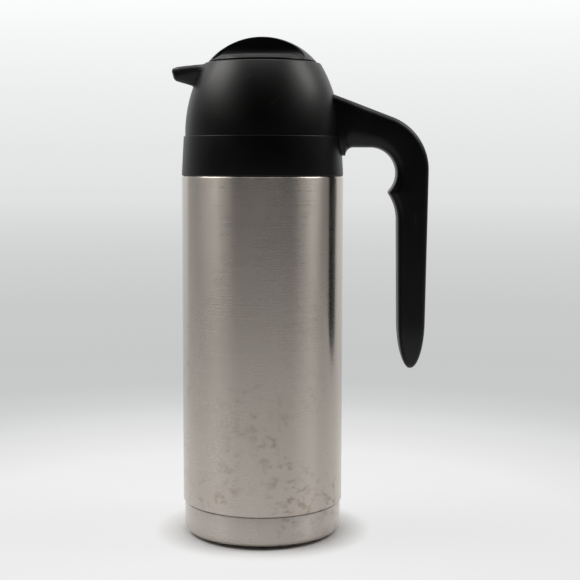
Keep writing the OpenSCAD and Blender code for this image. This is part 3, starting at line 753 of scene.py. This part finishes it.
@dataclass
class Collar:
    """The black band between the steel and the dome, with its web on the shoulder."""

    draft: float = 1.5 * MM
    foot_r: float = 1.0 * MM
    edge_r: float = 0.4 * MM
    wall: float = 2.4 * MM
    bore_inset: float = 3.3 * MM
    web_low: float = 278.1 * MM
    web_high: float = 280.6 * MM
    web_bore: float = 38.0 * MM

    def outline(self) -> list[Point]:
        """The band and its web in profile, as one closed loop."""
        low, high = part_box("collar")
        r, base, top = high.x, low.z, high.z
        upper = r - self.draft
        loop = [(r - self.bore_inset, base)]
        loop += arc((r - self.foot_r, base + self.foot_r), self.foot_r, -90, 0, 6)
        loop += arc((upper - self.edge_r, top - self.edge_r), self.edge_r, 0, 90, 5)
        loop += [(upper - self.wall, top), (upper - self.wall, self.web_high),
                 (self.web_bore, self.web_high), (self.web_bore, self.web_low),
                 (r - self.bore_inset, self.web_low)]
        return loop

    def build(self, finishes: Finishes) -> None:
        """Models and dresses the collar."""
        band = spin("collar_band", self.outline())
        shade(band)
        finish_piece(band, finishes, "collar_plastic", Body.SERVER, "collar")


@dataclass
class PouringHead:
    """The moulded dome with its spout, trough and threaded socket."""

    ledge: float = 2.6 * MM
    foot_h: float = 1.5 * MM
    top_r: float = 41.4 * MM
    edge_r: float = 1.5 * MM
    bore_r: float = 34.3 * MM
    bore_edge: float = 0.6 * MM
    seat_r: float = 31.0 * MM
    seat_top: float = 303.6 * MM
    seat_low: float = 301.45 * MM
    skirt: Point = (38.6 * MM, 40.8 * MM)
    skirt_low: float = 296.95 * MM
    spout_half: float = 14.5 * MM
    keel_root: float = 17.8 * MM
    tip_h: float = 11.0 * MM
    top_drop: float = 2.0 * MM
    side_r: float = 2.0 * MM
    tip_r: float = 3.6 * MM
    keel_r: float = 4.2 * MM
    wall: float = 2.0 * MM
    root_x: float = 36.0 * MM
    keel_x: float = 43.0 * MM
    fillet: float = 3.5 * MM
    roof_r: float = 41.0 * MM
    trough_back: float = 4.0 * MM
    trough_tip_r: float = 2.2 * MM
    trough_side_r: float = 1.4 * MM
    trough_clear: float = 16.0 * MM
    tunnel_in: float = 31.8 * MM
    tunnel_out: float = 43.0 * MM
    tunnel_half: float = 9.0 * MM
    tunnel_drop: float = 7.1 * MM
    tunnel_edge: float = 1.5 * MM
    tunnel_keel_r: float = 3.7 * MM
    thread_mid: float = 15.5 * MM
    thread_sink: float = 0.5 * MM
    thread_root_half: float = 1.15 * MM
    thread_crest_half: float = 0.8 * MM
    spout_clear: float = 5.0 * MM
    coarse_steps: int = 14
    fine_steps: int = 52
    skin: float = 0.02 * MM
    ray_start: float = 100.0 * MM
    thread_lead: float = 15.0 * MM
    thread_crest: float = 33.0 * MM
    thread_sweep: float = 75.0

    def __post_init__(self) -> None:
        """Works out the dome's arc from the frame."""
        low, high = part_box("pouring_head")
        self.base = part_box("collar")[1].z
        self.top = high.z
        self.tip = -low.x
        self.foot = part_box("collar")[1].x - self.ledge
        self.arc_z = self.base + self.foot_h
        rise, lean = self.top - self.arc_z, self.foot - self.top_r
        self.arc_r = (rise * rise + lean * lean) / (2 * lean)
        self.arc_x = self.foot - self.arc_r

    def side(self, z: float) -> float:
        """Radius of the dome's side at a height."""
        reach = max(0.0, z - self.arc_z)
        return self.arc_x + math.sqrt(self.arc_r ** 2 - reach * reach)

    def outline(self) -> list[Point]:
        """The dome and its socket in profile, as one closed loop."""
        edge_z = self.top - self.edge_r
        edge_x = self.arc_x + math.sqrt((self.arc_r - self.edge_r) ** 2 - (edge_z - self.arc_z) ** 2)
        lean = math.degrees(math.asin((edge_z - self.arc_z) / (self.arc_r - self.edge_r)))
        tangent_z = self.arc_z + self.arc_r * math.sin(math.radians(lean))
        low, steps = self.top - self.keel_root - self.spout_clear, self.fine_steps
        coarse = [self.arc_z + (low - self.arc_z) * i / self.coarse_steps
                  for i in range(self.coarse_steps + 1)]
        fine = [low + (tangent_z - low) * i / steps for i in range(1, steps)]
        points = [(self.foot, self.base)] + [(self.side(z), z) for z in coarse + fine]
        points += arc((edge_x, edge_z), self.edge_r, lean, 90, 8)
        points += arc((self.bore_r + self.bore_edge, self.top - self.bore_edge), self.bore_edge, 90, 180, 5)
        return points + [(self.bore_r, self.seat_top), (self.seat_r, self.seat_top),
                         (self.seat_r, self.seat_low), (self.skirt[0], self.seat_low),
                         (self.skirt[0], self.skirt_low), (self.skirt[1], self.skirt_low),
                         (self.skirt[1], self.base)]

    def spout_form(self) -> bpy.types.Object:
        """Outer form of the spout as a convex skin."""
        tip_x = -(self.tip - self.tip_r)
        top = self.top - self.top_drop
        keel_z = self.top - self.keel_root + self.keel_r
        centres = [Vector((tip_x, 0, top - self.tip_r)),
                   Vector((tip_x + 1.5 * MM, 0, top - self.tip_h + self.keel_r)),
                   Vector((-self.keel_x, 0, keel_z)), Vector((-self.bore_r - MM, 0, keel_z))]
        centres += [Vector((-self.root_x, side * (self.spout_half - self.side_r), top - MM))
                    for side in (-1, 1)]
        radii = [self.tip_r, self.keel_r, self.keel_r, self.keel_r, self.side_r, self.side_r]
        return hull("spout_form", centres, radii, detail=5)

    def pull_spout(self, dome: bpy.types.Object) -> None:
        """Draws the dome's skin out over the spout's form, with a fillet at its root.

        Args:
            dome: The spun dome.
        """
        form = self.spout_form()
        tree = BVHTree.FromObject(form, bpy.context.evaluated_depsgraph_get())
        bpy.data.objects.remove(form)
        for vert in dome.data.vertices:
            x, y, z = vert.co
            radius = math.hypot(x, y)
            if x > 0 or z < self.arc_z or abs(radius - self.side(z)) > self.skin:
                continue
            out = Vector((x / radius, y / radius, 0))
            hit = tree.ray_cast(Vector((0, 0, z)) + out * self.ray_start, -out)[0]
            if hit is None:
                continue
            reach = math.hypot(hit.x, hit.y)
            share = clamp(0.5 + 0.5 * (reach - radius) / self.fillet)
            grown = radius + (reach - radius) * share + self.fillet * share * (1 - share)
            vert.co = Vector((out.x * grown, out.y * grown, z))

    def cut_trough(self, dome: bpy.types.Object) -> None:
        """Cuts the open trough and the covered channel that feeds it."""
        top = self.top - self.top_drop
        keel_z = self.top - self.keel_root + self.keel_r
        side_y = self.spout_half - self.side_r - self.wall
        centres = [Vector((-(self.tip - self.tip_r + 0.5 * MM), 0, top - MM)),
                   Vector((-self.keel_x + self.trough_back, 0, keel_z + self.wall)),
                   Vector((-self.root_x, side_y, top - self.side_r)),
                   Vector((-self.root_x, -side_y, top - self.side_r))]
        radii = [self.trough_tip_r, self.keel_r, self.trough_side_r, self.trough_side_r]
        trough = hull("trough", centres, radii, rise=self.trough_clear)
        core = spin("roof_core", [(0, self.base), (self.roof_r, self.base),
                                  (self.roof_r, self.top + 30 * MM), (0, self.top + 30 * MM)],
                    closed=False)
        combine(trough, core, "DIFFERENCE")
        combine(dome, trough, "DIFFERENCE")
        roof = self.top - self.tunnel_drop
        stations = (-self.tunnel_out, -self.tunnel_in)
        corners = [Vector((x, y, roof)) for x in stations for y in (self.tunnel_half, -self.tunnel_half)]
        floors = [Vector((x, 0, keel_z + self.wall + MM)) for x in stations]
        tunnel = hull("tunnel", corners + floors, [self.tunnel_edge] * 4 + [self.tunnel_keel_r] * 2)
        combine(dome, tunnel, "DIFFERENCE")

    def threads(self) -> bpy.types.Object:
        """The three short helical ridges in the socket, as one object."""
        ridges = []
        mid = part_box("stopper_body")[0].z + self.thread_mid
        rise = self.thread_lead * self.thread_sweep / 360
        root, low, high = self.bore_r + self.thread_sink, self.thread_root_half, self.thread_crest_half
        section = [(root, -low), (self.thread_crest, -high), (self.thread_crest, high), (root, low)]
        for i in range(3):
            a = math.radians(120 * i - self.thread_sweep / 2)
            ridge = trace(f"ridge_{i}", [Vector((r * math.cos(a), r * math.sin(a), mid - rise / 2 + z))
                                         for r, z in section])
            with editing(ridge):
                bpy.ops.mesh.edge_face_add()
            apply_modifier(ridge, "SCREW", angle=math.radians(self.thread_sweep), steps=30,
                           render_steps=30, screw_offset=rise, use_merge_vertices=True)
            with editing(ridge):
                bpy.ops.mesh.normals_make_consistent(inside=False)
            ridges.append(ridge)
        bpy.ops.object.select_all(action="DESELECT")
        for ridge in ridges:
            ridge.select_set(True)
        bpy.context.view_layer.objects.active = ridges[0]
        bpy.ops.object.join()
        ridges[0].name = "socket_threads"
        return ridges[0]

    def build(self, finishes: Finishes) -> None:
        """Models and dresses the head."""
        dome = spin("head_dome", self.outline(), (Sweep(80, 132), Sweep(280, 112)), start=140)
        self.pull_spout(dome)
        self.cut_trough(dome)
        shade(dome)
        finish_piece(dome, finishes, "head_plastic", Body.SERVER, "pouring_head")
        threads = self.threads()
        shade(threads)
        finish_piece(threads, finishes, "head_plastic", Body.SERVER)


@dataclass(frozen=True)
class Section:
    """One cross-section of the handle."""

    inner: Vector
    outer: Vector
    half_width: float
    bevel: Point
    edge: float


@dataclass
class Handle:
    """The open-ended handle: a grip, a bend and an arm that widens to the dome."""

    depth: float = 22.3 * MM
    width: float = 23.0 * MM
    end_length: float = 34.0 * MM
    bend_r: float = 18.4 * MM
    bend_shift: float = 0.5 * MM
    out_shift: Vector = Vector((0.8, 0, 2.0)) * MM
    arm_rise: float = 20.5 * MM
    root_h: float = 32.4 * MM
    root_half: float = 16.3 * MM
    stop_drop: float = 15.6 * MM
    hollow_r: float = 32.0 * MM
    hollow_drop: float = 17.4 * MM
    edge_r: float = 4.5 * MM
    fillet_r: float = 6.2 * MM
    fillet_reach: float = 8.7 * MM
    sink: float = 15.0 * MM
    taper: float = 0.014
    stop_blend: float = 0.9 * MM
    grip_bevel: Point = (6.0 * MM, 5.0 * MM)
    arm_bevel: Point = (14.0 * MM, 9.0 * MM)
    corner_steps: int = 8
    bite: float = 0.5 * MM

    def __post_init__(self) -> None:
        """Works out the bend, the finger stop and the arm from the frame."""
        low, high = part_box("handle")
        self.reach, self.end_z = high.x, low.z
        self.collar_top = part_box("collar")[1].z
        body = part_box("outer_shell")[1]
        self.bend_x = self.reach - self.depth - self.bend_r - self.bend_shift
        self.bend_z = body.z + self.arm_rise - self.bend_r
        self.centre = Vector((self.bend_x, 0, self.bend_z))
        self.out_centre = self.centre + self.out_shift
        self.bend_out = self.reach - self.out_centre.x
        self.stop_z = self.bend_z - self.stop_drop
        self.hollow_z = self.stop_z - self.hollow_drop
        self.start_x = body.x - self.sink
        self.upper = body.x - 1.5 * MM
        self.fillet_x = self.upper + self.fillet_reach
        root_z = self.collar_top + self.root_h - self.out_centre.z
        span = self.out_centre.x - self.start_x
        slope = math.acos(self.bend_out / math.hypot(root_z, span)) - math.atan2(span, root_z)
        self.normal = Vector((math.sin(slope), 0, math.cos(slope)))
        tangent = self.out_shift + self.bend_out * self.normal
        self.turn = math.atan2(tangent.z, tangent.x)

    def swell(self, z: float) -> float:
        """Share of the full section that the rounded end has reached."""
        t = clamp((z - self.end_z) / self.end_length)
        return math.sqrt(1 - (1 - t) ** 2)

    def outer_x(self, z: float) -> float:
        """Outer face of the grip."""
        return self.reach - self.taper * (self.bend_z - z)

    def inner_x(self, z: float) -> float:
        """Inner face of the grip, with the hollow and the finger stop below the bend."""
        line = self.reach - self.depth + self.taper * (self.stop_z - z)
        if z < self.hollow_z:
            return line
        bend = self.bend_x + math.sqrt(max(0.0, self.bend_r ** 2 - (z - self.bend_z) ** 2))
        hollow = line - self.hollow_r + math.sqrt(max(0.0, self.hollow_r ** 2 - (z - self.hollow_z) ** 2))
        return self.stop_blend * math.log(math.exp((bend - hollow) / self.stop_blend) + 1) + hollow

    def arm_half(self, x: float) -> float:
        """Half width of the arm."""
        t = (self.reach - self.depth - x) / (self.reach - self.depth - self.upper)
        return self.width / 2 + (self.root_half - self.width / 2) * ease(t)

    def bevel(self, half: float) -> Point:
        """Size of the soft inner edge for a half width."""
        t = (half - self.width / 2) / (self.root_half - self.width / 2)
        return (self.grip_bevel[0] + (self.arm_bevel[0] - self.grip_bevel[0]) * t,
                self.grip_bevel[1] + (self.arm_bevel[1] - self.grip_bevel[1]) * t)

    def grip(self, z: float) -> Section:
        """Section of the grip at a height."""
        e = self.swell(z)
        outer, inner = self.outer_x(z), self.inner_x(z)
        mid, half = (outer + inner) / 2, (outer - inner) / 2
        return Section(Vector((mid - half * e, 0, z)), Vector((mid + half * e, 0, z)),
                       self.width / 2 * e, (self.grip_bevel[0] * e, self.grip_bevel[1] * e), self.edge_r * e)

    def bend(self, angle: float) -> Section:
        """Section of the bend at an angle in degrees from outward towards up."""
        a = math.radians(angle)
        along = Vector((math.cos(a), 0, math.sin(a)))
        if a > self.turn:
            reach = (self.bend_out + self.out_shift.dot(self.normal)) / along.dot(self.normal)
        else:
            across = self.out_shift.cross(along).length
            reach = self.out_shift.dot(along) + math.sqrt(self.bend_out ** 2 - across ** 2)
        half = self.arm_half(self.bend_x + self.bend_r * math.cos(a))
        inner, outer = self.centre + self.bend_r * along, self.centre + reach * along
        return Section(inner, outer, half, self.bevel(half), self.edge_r)

    def arm(self, x: float) -> Section:
        """Section of the arm at a distance from the axis."""
        rise = (self.bend_out + (self.out_centre.x - x) * self.normal.x) / self.normal.z
        top = self.out_centre.z + rise
        under = self.bend_z + self.bend_r
        if x < self.fillet_x:
            back = min(self.fillet_r, self.fillet_x - x)
            under -= self.fillet_r - math.sqrt(self.fillet_r ** 2 - back ** 2)
        half = self.arm_half(x)
        return Section(Vector((x, 0, under)), Vector((x, 0, top)), half, self.bevel(half), self.edge_r)

    def sections(self) -> list[Section]:
        """All sections from the rounded end to the root in the dome."""
        round_end = [self.grip(self.end_z + self.end_length * (1 - math.cos(math.radians(a))))
                     for a in range(3, 87, 4)]
        full = self.end_z + self.end_length
        straight = [self.grip(full + (self.hollow_z - full) * i / 10) for i in range(10)]
        hollow = [self.grip(self.hollow_z + (self.bend_z - self.hollow_z) * i / 62) for i in range(62)]
        bend = [self.bend(3 * i) for i in range(31)]
        arm = [self.arm(self.bend_x + (self.fillet_x - self.bend_x) * i / 4) for i in range(1, 5)]
        fillet = [self.arm(self.fillet_x - self.fillet_r * math.sin(math.radians(a)))
                  for a in range(8, 92, 8)]
        return round_end + straight + hollow + bend + arm + fillet + [self.arm(self.start_x)]

    def ring(self, section: Section) -> list[Vector]:
        """Points round one section, with round outer and elliptical inner corners."""
        span = section.outer - section.inner
        h, w = span.length, section.half_width
        out = span.normalized()
        bev = (min(section.bevel[0], h * 0.45), min(section.bevel[1], w * 0.9))
        edge = min(section.edge, h * 0.45, w * 0.9)
        turns = [math.pi / 2 * k / self.corner_steps for k in range(self.corner_steps + 1)]
        corners = [(h - edge + edge * math.cos(a), w - edge + edge * math.sin(a)) for a in turns]
        corners += [(bev[0] - bev[0] * math.sin(a), w - bev[1] + bev[1] * math.cos(a)) for a in turns]
        corners += [(c, -y) for c, y in reversed(corners)]
        return [section.inner + out * c + Vector((0, y, 0)) for c, y in corners]

    def saddle(self, head: PouringHead) -> bpy.types.Object:
        """Form of the dome and collar that the arm runs into, inset by the bite."""
        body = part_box("outer_shell")[1]
        heights = [head.arc_z + (head.top - head.arc_z) * i / 24 for i in range(25)]
        side = [(head.side(z) - self.bite, z) for z in heights]
        ledge = self.collar_top - self.bite
        loop = [(0, body.z), (body.x - self.bite, body.z), (self.upper - self.bite, ledge),
                (head.foot - self.bite, ledge)]
        return spin("saddle", loop + side + [(0, head.top)], closed=False)

    def build(self, finishes: Finishes, head: PouringHead) -> None:
        """Models and dresses the handle."""
        handle = loft("moulded_handle", [self.ring(section) for section in self.sections()])
        combine(handle, self.saddle(head), "DIFFERENCE")
        shade(handle)
        finish_piece(handle, finishes, "handle_plastic", Body.SERVER, "handle")


@dataclass
class Lid:
    """The domed lid cap, with a fin between two finger scoops."""

    park_angle: float = -10.0
    fin: float = 16.0 * MM
    scoop_length: float = 64.6 * MM
    scoop_corner: float = 8.0 * MM
    scoop_lip: float = 3.4 * MM
    scoop_depth: float = 3.0 * MM
    scoop_r: float = 10.0 * MM
    rim_edge: float = 0.5 * MM
    flange_r: float = 35.4 * MM
    flange_h: float = 1.2 * MM
    plug_r: float = 30.05 * MM
    plug_drop: float = 2.5 * MM
    voxel: float = 0.36 * MM
    tool_reach: float = 60.0 * MM
    tool_clear: float = 20.0 * MM

    def __post_init__(self) -> None:
        """Works out the crown from the frame."""
        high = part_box("lid_cap")[1]
        self.radius, self.top = high.x, high.z
        self.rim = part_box("pouring_head")[1].z + 0.8 * MM
        crown = self.top - self.rim
        self.ball_r = (self.radius ** 2 + crown ** 2) / (2 * crown)
        self.ball_z = self.top - self.ball_r

    def crown(self) -> bpy.types.Object:
        """Solid crown with its rim and the plug below it."""
        low = self.rim + self.rim_edge
        ends = math.degrees(math.asin((low - self.ball_z) / self.ball_r))
        points = arc((0, self.ball_z), self.ball_r, 90, ends, 40)
        points += arc((points[-1][0] - self.rim_edge, low), self.rim_edge, 0, -90, 4)
        points += [(self.flange_r, self.rim), (self.flange_r, self.rim + self.flange_h),
                   (self.plug_r, self.rim + self.flange_h), (self.plug_r, self.rim - self.plug_drop),
                   (0, self.rim - self.plug_drop)]
        return spin("lid_crown", points, closed=False)

    def scoop(self, side: int) -> bpy.types.Object:
        """Tool that cuts one finger scoop.

        Args:
            side: -1 for the scoop in front of the fin and 1 for the one behind.

        Returns:
            The tool, turned with the fin.
        """
        far, high = self.tool_reach, self.top + self.tool_clear
        floor = self.rim + self.scoop_lip
        dish_z = floor - self.scoop_depth + self.scoop_r
        dish_y = -self.fin / 2 - self.scoop_r
        lip = 180 + math.degrees(math.asin((dish_z - floor) / self.scoop_r))
        hollow = arc((dish_y, dish_z), self.scoop_r, 360, lip, 40)
        outline = [(-self.fin / 2, high)] + hollow + [(-far, floor), (-far, high)]
        tool = prism("scoop", [Vector((-far, y, z)) for y, z in outline], Vector((2 * far, 0, 0)))
        corner, half = self.scoop_corner, self.scoop_length / 2
        wall = -self.fin / 2
        plan = [(-half, -far), (half, -far)]
        plan += arc((half - corner, wall - corner), corner, 0, 90, 12)
        plan += arc((-half + corner, wall - corner), corner, 90, 180, 12)
        room = prism("scoop_room", [Vector((x, y, self.rim - self.tool_clear)) for x, y in plan],
                     Vector((0, 0, self.tool_reach)))
        combine(tool, room, "INTERSECT")
        turn = self.park_angle if side < 0 else self.park_angle + 180
        tool.data.transform(Matrix.Rotation(math.radians(turn), 4, "Z"))
        return tool

    def build(self, finishes: Finishes) -> None:
        """Models and dresses the lid cap."""
        cap = self.crown()
        for side in (-1, 1):
            combine(cap, self.scoop(side), "DIFFERENCE")
        cap.name = "lid_cap_moulded"
        apply_modifier(cap, "REMESH", mode="VOXEL", voxel_size=self.voxel, use_smooth_shade=True)
        apply_modifier(cap, "SMOOTH", factor=0.5, iterations=6)
        finish_piece(cap, finishes, "lid_plastic", Body.LID, "lid_cap")


@dataclass(frozen=True)
class Softbox:
    """One rectangular lamp that faces the carafe."""

    name: str
    azimuth: float
    elevation: float
    distance: float
    size: Point
    power: float
    colour: Colour = (1.0, 0.98, 0.955)
    aim_h: float = 0.2

    def build(self) -> None:
        """Places the lamp; azimuth 0 is the camera's side and 90 the handle's."""
        a, e = math.radians(self.azimuth), math.radians(self.elevation)
        aim = Vector((0, 0, self.aim_h))
        place = aim + self.distance * Vector((math.cos(e) * math.sin(a), -math.cos(e) * math.cos(a),
                                              math.sin(e)))
        bpy.ops.object.light_add(type="AREA", location=place)
        lamp = bpy.context.object
        lamp.name = self.name
        lamp.data.shape = "RECTANGLE"
        lamp.data.size, lamp.data.size_y = self.size
        lamp.data.energy = self.power
        lamp.data.color = self.colour
        lamp.rotation_euler = (aim - place).to_track_quat("-Z", "Y").to_euler()


@dataclass(frozen=True)
class GlowingCloth:
    """Dim glowing sheet round the camera's side, hidden from the camera, which the steel and the plastic
    reflect; its painted glow stands in for the dim room.
    """

    start: float
    end: float
    height: float
    radius: float = 1.35
    stops: tuple[Point, ...] = ((-1, 0.012), (-0.6, 0.02), (-0.3, 0.05), (0, 0.14), (0.3, 0.34), (0.66, 0.48))
    steps: int = 48

    def build(self) -> None:
        """Hangs the sheet from its first azimuth to its last; its emission is painted light, paler towards
        the backdrop.
        """
        turns = [math.radians(self.start + (self.end - self.start) * i / self.steps)
                 for i in range(self.steps + 1)]
        glowing_cloth = trace("glowing_cloth", [self.radius * Vector((math.sin(a), -math.cos(a), 0)) for a in turns])
        with editing(glowing_cloth):
            bpy.ops.mesh.extrude_region_move(TRANSFORM_OT_translate={"value": (0, 0, self.height)})
        g = Surface("glowing_cloth")
        depth = g.axis("Y")
        tone = g.ramp(g.math("DIVIDE", depth, self.radius), self.stops)
        # painted light: the sheet glows with its tone instead of being lit by the lamps
        g.show(g.add("ShaderNodeEmission", {"Color": tone, "Strength": 1.0}))
        glowing_cloth.data.materials.append(g.material)
        glowing_cloth.visible_camera = False
        glowing_cloth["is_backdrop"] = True


@dataclass
class Studio:
    """Floor, backdrop, lamps and camera."""

    camera_place: Vector = Vector((0.0, -0.9076, 0.2691))
    camera_pitch: float = 5.806
    camera_yaw: float = 1.245
    camera_roll: float = -0.128
    focal_px: float = 1254.5
    frame_px: float = 580.0
    floor_size: float = 24.0
    ambient: float = 0.2
    glow_share: float = 0.72
    glow_near: Point = (0.058, 0.08)
    glow_far: Point = (0.2, 0.42)
    floor_tones: tuple[Point, ...] = (
        (0.06, 0.95), (0.25, 0.90), (0.34, 0.806), (0.39, 0.745), (0.50, 0.638), (0.63, 0.578),
        (0.88, 0.572), (1.55, 0.591), (2.96, 0.645), (8.2, 0.753))
    sky_tones: tuple[Point, ...] = (
        (-0.03, 0.75), (0.01, 0.79), (0.05, 0.84), (0.08, 0.887), (0.105, 0.93), (0.124, 0.973))
    glowing_cloths: tuple[GlowingCloth, ...] = (GlowingCloth(-131, 131, 0.83), GlowingCloth(-48, 54, 2.4))
    lamps: tuple[Softbox, ...] = (
        Softbox("left_softbox", -94, 46, 1.3, (0.85, 0.6), 8.6),
        Softbox("right_softbox", 90, 44, 1.3, (0.5, 0.6), 5.8),
        Softbox("top_softbox", 0, 86, 1.2, (0.9, 0.7), 3.0),
    )

    def camera(self) -> None:
        """Camera at the photograph's viewing angle."""
        turn = [math.radians(a) for a in (90 - self.camera_pitch, self.camera_roll, -self.camera_yaw)]
        bpy.ops.object.camera_add(location=self.camera_place, rotation=turn)
        camera = bpy.context.object
        camera.data.sensor_width = 36
        camera.data.lens = self.focal_px / self.frame_px * camera.data.sensor_width
        camera.data.clip_end = 50
        bpy.context.scene.camera = camera

    def floor(self) -> None:
        """Pale floor that keeps the shadow under the base; beyond the base's edge a painted glow, seen by
        camera and glossy rays, lifts the shadow to a faint one, and with distance the glow fades to grey and
        back up to the world's pale horizon.
        """
        bpy.ops.object.select_all(action="DESELECT")
        bpy.ops.mesh.primitive_plane_add(size=self.floor_size, location=(0, 0, 0))
        floor = bpy.context.object
        floor.name = "floor"
        g = Surface("floor_paper")
        g.set(Base_Color=(0.87, 0.87, 0.87), Roughness=0.7)
        away = g.add("ShaderNodeVectorMath", {0: g.place}, operation="LENGTH").outputs["Value"]
        tones = [(math.log10(at), tone) for at, tone in self.floor_tones]
        tone = g.ramp(g.math("LOGARITHM", away, 10.0), tones)
        glow = g.add("ShaderNodeEmission", {"Color": tone, "Strength": 1.0})
        # painted light: glow that lifts the floor's shadow from just beyond the base's edge
        near = g.band(away, *self.glow_near, 0, self.glow_share)
        share = g.math("MAXIMUM", near, g.band(away, *self.glow_far))
        g.show(g.add("ShaderNodeMixShader", {0: g.math("MULTIPLY", share, g.seen()),
                                             1: g.surface.outputs[0], 2: glow.outputs[0]}))
        floor.data.materials.append(g.material)
        floor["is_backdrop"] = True

    def backdrop(self) -> None:
        """World that pales with height above the horizon."""
        world = bpy.data.worlds.new("studio")
        bpy.context.scene.world = world
        world.use_nodes = True
        g = Graph(world.node_tree, "ShaderNodeOutputWorld", "Generated")
        rise = g.axis("Z")
        lit = g.mix(g.seen(), (self.ambient,) * 3, g.ramp(rise, self.sky_tones))
        g.show(g.add("ShaderNodeBackground", {"Color": lit, "Strength": 1.0}))

    def build(self) -> None:
        """Sets the whole stage."""
        bpy.context.scene.view_settings.view_transform = "Standard"
        self.camera()
        self.floor()
        self.backdrop()
        for piece in self.glowing_cloths + self.lamps:
            piece.build()


def main() -> dict:
    """Builds the stage and every piece in order.

    Returns:
        The frame, with the CAD box under the key cad_box.
    """
    logging.basicConfig(level=logging.INFO, format="%(message)s")
    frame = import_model()
    frame["cad_box"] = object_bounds()
    Studio().build()
    finishes = Finishes()
    finishes.dress_nodes(frame)
    SteelFlask().build(finishes)
    Collar().build(finishes)
    head = PouringHead()
    head.build(finishes)
    Handle().build(finishes, head)
    Lid().build(finishes)
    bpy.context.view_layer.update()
    return frame


if __name__ == "__main__":
    main()
